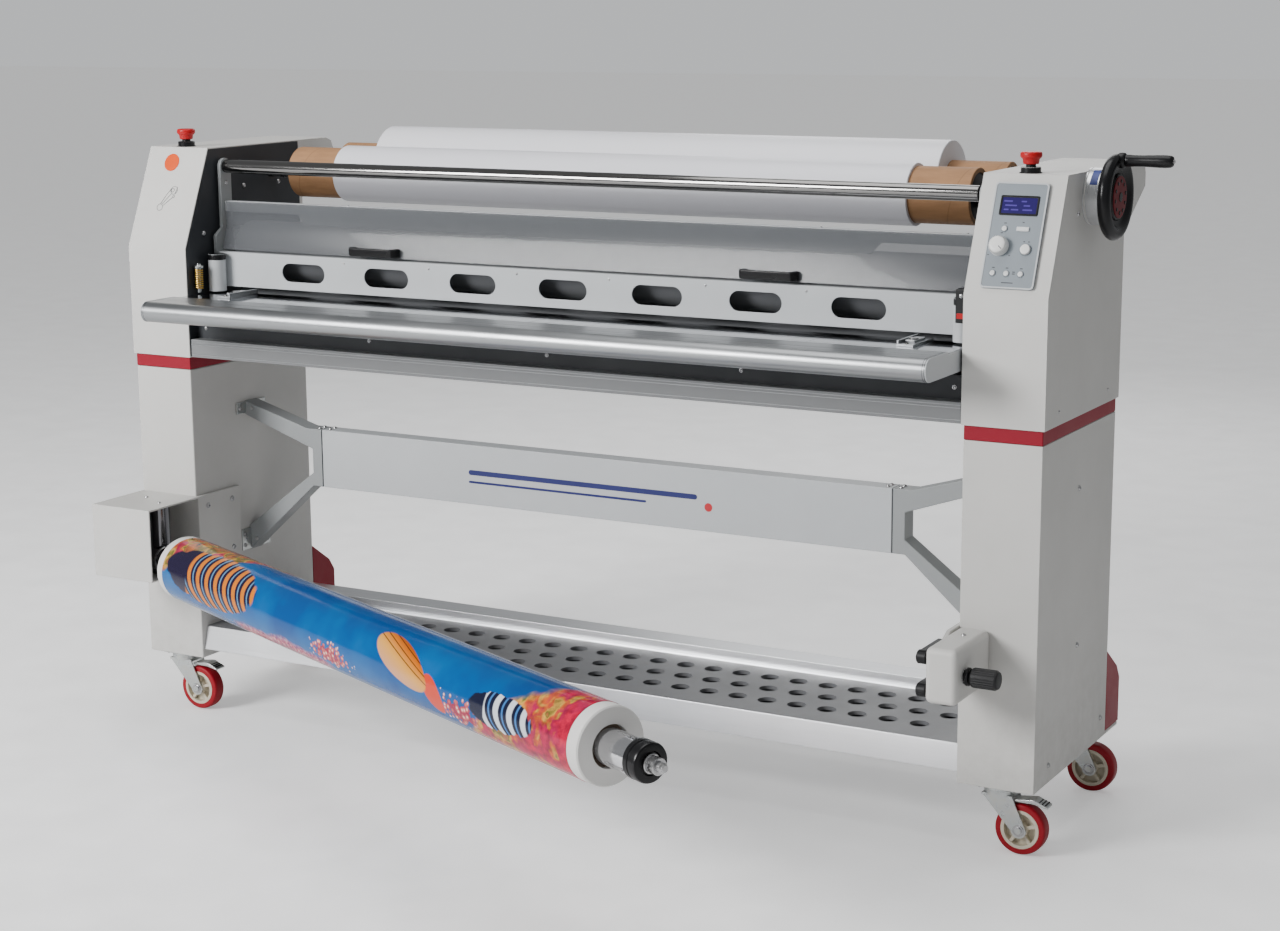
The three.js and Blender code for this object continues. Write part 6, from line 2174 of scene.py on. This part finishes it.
@dataclass
class Receiver:
    """The box, forked jaw and knob on the right leg that take the mandrel's tip."""

    jaw: tuple[Point, Point, Point] = ((888, 910), (-160, -50), (338, 422))
    throat: Point = (362, 398)
    throat_rear: float = -76.0
    knob: Point = (-130, 380)

    def build(self) -> None:
        """Builds the box, the jaw and the knob."""
        self.box()
        self.jaw_pieces()
        self.turn_knob()

    def box(self) -> None:
        """The folded cover with its flange and the sloped web behind it."""
        cover = [(-169.9, 330.2), (-1, 330.2), (-1, 435.8), (-169.9, 435.8)]
        form = Form().prism(cover, Axis.X, 909.4, 971.2, soft=12.0, steps=5)
        form.piece("receiver_cover", "frame", BODY, ["mandrel_receiver"])
        web = [(-74, 330.2), (95.8, 330.2), (95.8, 435.8), (-40, 435.8), (-74, 418)]
        flange = Form().prism(web, Axis.X, 899.2, 908.6, soft=1.6)
        flange.piece("receiver_flange", "frame", BODY)

    def jaw_pieces(self) -> None:
        """The black forked jaw with a round lug at the end of each tine, and the screws."""
        (x0, _), (y0, y1), (z0, z1) = self.jaw
        low, high = self.throat
        form = Form()
        for z, inner, outer in ((z0, low, z0), (z1, high, z1)):
            sign = 1 if outer > inner else -1
            mid = (inner + outer) / 2
            form.prism(
                rounded((y0 + 14, y1), tuple(sorted((inner, outer))), 6), Axis.X, x0, x0 + 20.6, soft=2.0,
                steps=3,
            )
            form.lathe(
                [(0, x0 - 0.4), (11, x0 - 0.4), (13, x0 + 1.6), (13, x0 + 17), (11, x0 + 19), (0, x0 + 19)],
                Axis.X, (y0 + 13, mid + sign * 1.0), 40,
            )
        form.prism(rounded((self.throat_rear, y1), (low - 6, high + 6), 3), Axis.X, x0, x0 + 20.6, soft=1.6)
        form.piece("receiver_jaw", "frame", SATIN_BLACK)
        lugs = Form()
        for z in (z0 + 12, z1 - 12):
            bolt(lugs, Axis.X, (y0 + 13, z), x0 - 0.4, 6.0, -1)
        lugs.piece("receiver_lugs", "frame", ZINC)
        screws = Form()
        for spot in ((20, 352), (20, 414), (74, 352), (74, 414)):
            bolt(screws, Axis.X, spot, 899.2, 5.5, -1)
        bolt(screws, Axis.Z, (941, -60), 435.8, 4.5)
        screws.piece("receiver_screws", "frame", STEEL)

    def turn_knob(self) -> None:
        """The black knob: a washer, a flange and a ridged grip."""
        face = 909.3 + 62.0
        start = face + 5
        turn = [
            (0, face - 26), (7.6, face - 26), (7.6, start), (16, start), (17, start + 1),
            (17, start + 5), (16, start + 6), (9, start + 6), (9, start + 10), (16.5, start + 10.6),
            (17.8, start + 12.4), (17.8, start + 57), (15.5, start + 61), (12, start + 61.8),
            (0, start + 61.8),
        ]
        form = Form().lathe(turn, Axis.X, self.knob, 56)
        form.piece("receiver_knob", "receiver_knob", SATIN_BLACK, ["receiver_knob"])
        ribs = Form()
        u, v = self.knob
        for i in range(24):
            a = FULL_TURN * i / 24
            ribs.rod(
                Axis.X, (u + 17.3 * math.cos(a), v + 17.3 * math.sin(a)), 1.3, start + 13.5, start + 57,
                0.6, 8,
            )
        ribs.piece("receiver_knob_ribs", "receiver_knob", SATIN_BLACK)
        washer = Form().ring(Axis.X, self.knob, 8.8, 15.0, face, face + 1.8, 0.4, 40)
        washer.piece("receiver_washer", "frame", STEEL)


@dataclass
class Caster:
    """A swivel caster whose wheel trails towards the operator's right."""

    tag: str
    x: float
    y: float
    braked: bool
    trail: float = 45.0
    wheel: float = 50.0
    tread: float = 32.0

    @property
    def place(self) -> Matrix:
        """The caster's own frame, with its origin on the floor under the swivel."""
        return SHOP @ Matrix.Translation((self.x, self.y, 0))

    def build(self) -> None:
        """Builds the fork, the wheel and, on the front pair, the pedal."""
        self.fork()
        self.rolling()
        if self.braked:
            self.pedal()

    def fork(self) -> None:
        """The pressed fork under its swivel race and top plate."""
        body, name = "caster_" + self.tag, "caster_fork_" + self.tag
        form = Form.of_node(name, self.place).soften(1.5, 2)
        form.piece(name, body, ZINC, [name], self.place)
        race = Form().lathe(
            [(0, 116), (24, 116), (28.6, 118), (30.6, 120), (30.6, 123), (27, 125), (27, 127.4), (0, 127.4)],
            Axis.Z, steps=56,
        )
        race.lathe([(0, 111), (11, 111), (11, 116.4), (0, 116.4)], Axis.Z, steps=6)
        race.piece(name + "_race", body, ZINC, place=self.place)
        plate = Form().block((-42, 42), (-30, 36), (127.2, 131.6), 1.2)
        for spot in ((-33, -22), (33, -22), (-33, 27), (33, 27)):
            bolt(plate, Axis.Z, spot, 127.2, 4.5, -1)
        plate.piece(name + "_plate", "frame", ZINC, place=self.place)
        nuts = Form()
        outer = self.tread / 2 + 6
        for sign in (-1, 1):
            dome = [
                (0, outer), (11, outer), (11.4, outer + 0.6), (10.6, outer + 1.6), (7.6, outer + 1.8),
                (7.6, outer + 4.2), (5, outer + 4.9), (0, outer + 4.9),
            ]
            nuts.lathe([(r, sign * at) for r, at in dome], Axis.Y, (self.trail, self.wheel), 24)
        nuts.piece(name + "_nuts", body, STEEL, place=self.place)

    def rolling(self) -> None:
        """The red tyre on a cream rim with curved openings round its hub."""
        body, name = "wheel_" + self.tag, "caster_wheel_" + self.tag
        centre = (self.trail, self.wheel)
        half = self.tread / 2
        r = self.wheel
        turn = [
            (37.5, -half + 1), (r - 4, -half + 1), (r - 1.4, -half + 2.6), (r - 0.3, -half + 6),
            (r, -half + 11),
        ]
        turn += [
            (r, half - 11), (r - 0.3, half - 6), (r - 1.4, half - 2.6), (r - 4, half - 1), (37.5, half - 1),
            (37.5, -half + 1),
        ]
        tyre = Form().lathe(turn, Axis.Y, centre, 64)
        tyre.piece(name + "_tyre", body, TREAD, [name], self.place, smooth=50)
        rim = Form().ring(Axis.Y, centre, 31.5, 38.5, -half + 0.4, half - 0.4, 1.2, 64)
        rim.ring(Axis.Y, centre, 6.6, 15.5, -half - 0.2, half + 0.2, 1.2, 40)
        rim.ring(Axis.Y, centre, 14.5, 32.5, -3, 3, 0.4, 64)
        for i in range(5):
            turn = Matrix.Translation((centre[0], 0, centre[1])) @ Matrix.Rotation(FULL_TURN * i / 5, 4, "Y")
            spoke = Form().block((-3.4, 3.4), (-half + 3, half - 3), (14, 33), 1.0).moved(turn)
            held = bpy.data.meshes.new("spoke")
            spoke.mesh.to_mesh(held)
            spoke.mesh.free()
            rim.mesh.from_mesh(held)
            bpy.data.meshes.remove(held)
        rim.piece(name + "_rim", body, CREAM, place=self.place)

    def pedal(self) -> None:
        """The brake pedal with a ribbed, upturned toe."""
        body, name = "pedal_" + self.tag, "brake_pedal_" + self.tag
        form = Form.of_node(name, self.place).soften(1.2, 2)
        form.piece(name, body, ZINC, [name], self.place)
        pad = Form()
        for i in range(4):
            x = 74 + 6 * i
            pad.block((x, x + 2.6), (-12.5, 12.5), (108.2 - 1.6 * i, 110.6 - 1.6 * i), 0.6, 1)
        pad.piece(name + "_pad", body, SATIN_BLACK, place=self.place)


@dataclass
class Studio:
    """The pale floor, the soft lights and the camera."""

    lens: float = 65.78
    camera: tuple[float, float, float] = (2456.9, -3966.6, 1589.8)
    yaw: float = -29.33
    pitch: float = -11.34
    roll: float = -0.41
    ambient: float = 0.28
    lift: float = 0.36
    lights: tuple = (
        ("key", (-3.0, -4.9, 3.2), (0.1, 0.0, 0.7), 2.4, 500.0),
        ("fill", (4.6, -3.4, 2.2), (0.6, 0.0, 0.7), 2.4, 3.0),
        ("top", (0.0, 0.2, 4.4), (0.0, 0.2, 0.8), 3.0, 80.0),
        ("rim", (-0.8, 4.4, 3.0), (0.0, 0.2, 0.8), 2.6, 45.0),
    )

    def build(self) -> None:
        """Lays the floor, hangs the lights and sets the camera."""
        self.floor()
        for name, spot, aim, size, power in self.lights:
            self.area(name, Vector(spot), Vector(aim), size, power)
        self.world()
        self.stand_camera()

    def floor(self) -> None:
        """A wide, flat, pale floor."""
        form = Form().block((-40000, 40000), (-40000, 40000), (-60, -0.5))
        form.mesh.transform(SHOP)
        data = bpy.data.meshes.new("studio_floor")
        form.mesh.to_mesh(data)
        form.mesh.free()
        made = bpy.data.objects.new("studio_floor", data)
        bpy.context.scene.collection.objects.link(made)
        paper = Moulding("studio paper", "body_paint", (0.92, 0.92, 0.92), 0.8, 0.0, 300.0)
        sheet = paper.material()
        shader = sheet.node_tree.nodes["Principled BSDF"]
        shader.inputs["Emission Color"].default_value = (1.0, 1.0, 1.0, 1.0)
        lift = self.backdrop_lift(sheet.node_tree, 0.0)
        sheet.node_tree.links.new(lift, shader.inputs["Emission Strength"])
        data.materials.append(sheet)

    def backdrop_lift(self, tree: Tree, ambient: float) -> Socket:
        """What the backdrop gives off: the ambient light, and the lift where it is seen directly."""
        seen = tree.nodes.new("ShaderNodeLightPath").outputs["Is Camera Ray"]
        return sums(tree, "MULTIPLY_ADD", seen, self.lift, ambient)

    def area(self, name: str, spot: Vector, aim: Vector, size: float, power: float) -> None:
        """Hangs one square soft light aimed at a point.

        Args:
            name: Its name.
            spot: Where it hangs.
            aim: What it points at.
            size: Width of its square.
            power: Its strength in watts.
        """
        lamp = bpy.data.lights.new(name, "AREA")
        lamp.size = size
        lamp.energy = power
        made = bpy.data.objects.new(name, lamp)
        aimed = (spot - aim).to_track_quat("Z", "Y").to_matrix().to_4x4()
        made.matrix_world = Matrix.Translation(spot) @ aimed
        bpy.context.scene.collection.objects.link(made)

    def world(self) -> None:
        """A plain bright surround."""
        world = bpy.data.worlds.new("studio")
        world.use_nodes = True
        back = world.node_tree.nodes["Background"]
        back.inputs["Color"].default_value = (0.96, 0.98, 1.0, 1)
        lift = self.backdrop_lift(world.node_tree, self.ambient)
        world.node_tree.links.new(lift, back.inputs["Strength"])
        bpy.context.scene.world = world

    def stand_camera(self) -> None:
        """Stands the camera in front of the right cabinet, looking back across the machine."""
        yaw, pitch, roll = (math.radians(a) for a in (self.yaw, self.pitch, self.roll))
        ahead = Vector((math.sin(yaw) * math.cos(pitch), math.cos(yaw) * math.cos(pitch), math.sin(pitch)))
        right = Vector((math.cos(yaw), -math.sin(yaw), 0))
        up = right.cross(ahead)
        across = right * math.cos(roll) + up * math.sin(roll)
        rise = up * math.cos(roll) - right * math.sin(roll)
        turn = Matrix((across, rise, -ahead)).transposed().to_4x4()
        lens = bpy.data.cameras.new("front_right")
        lens.lens = self.lens
        lens.sensor_width = 36
        lens.clip_end = 100
        made = bpy.data.objects.new("front_right", lens)
        made.matrix_world = Matrix.Translation(SHOP @ Vector(self.camera)) @ turn
        bpy.context.scene.collection.objects.link(made)
        bpy.context.scene.camera = made


def assemblies() -> Iterable[object]:
    """Every assembly in the order it is built.

    Returns:
        The assemblies, one by one.
    """
    for side in Side:
        yield Cabinet(side)
    yield Badge()
    yield Controls()
    yield Handwheel()
    yield Topworks()
    yield Rolls()
    yield FeedTable()
    yield CrossMembers()
    yield Mandrel()
    yield Receiver()
    for tag, x, y, braked in (
        ("front_right", CABINET_X, 32, True), ("front_left", -CABINET_X, 32, True),
        ("rear_right", CABINET_X, 440, False), ("rear_left", -CABINET_X, 440, False),
    ):
        yield Caster(tag, x, y, braked)
    yield Studio()


def main() -> None:
    """Builds every assembly."""
    logging.basicConfig(level=logging.INFO, format="%(name)s %(message)s")
    for assembly in assemblies():
        assembly.build()


if __name__ == "__main__":
    main()
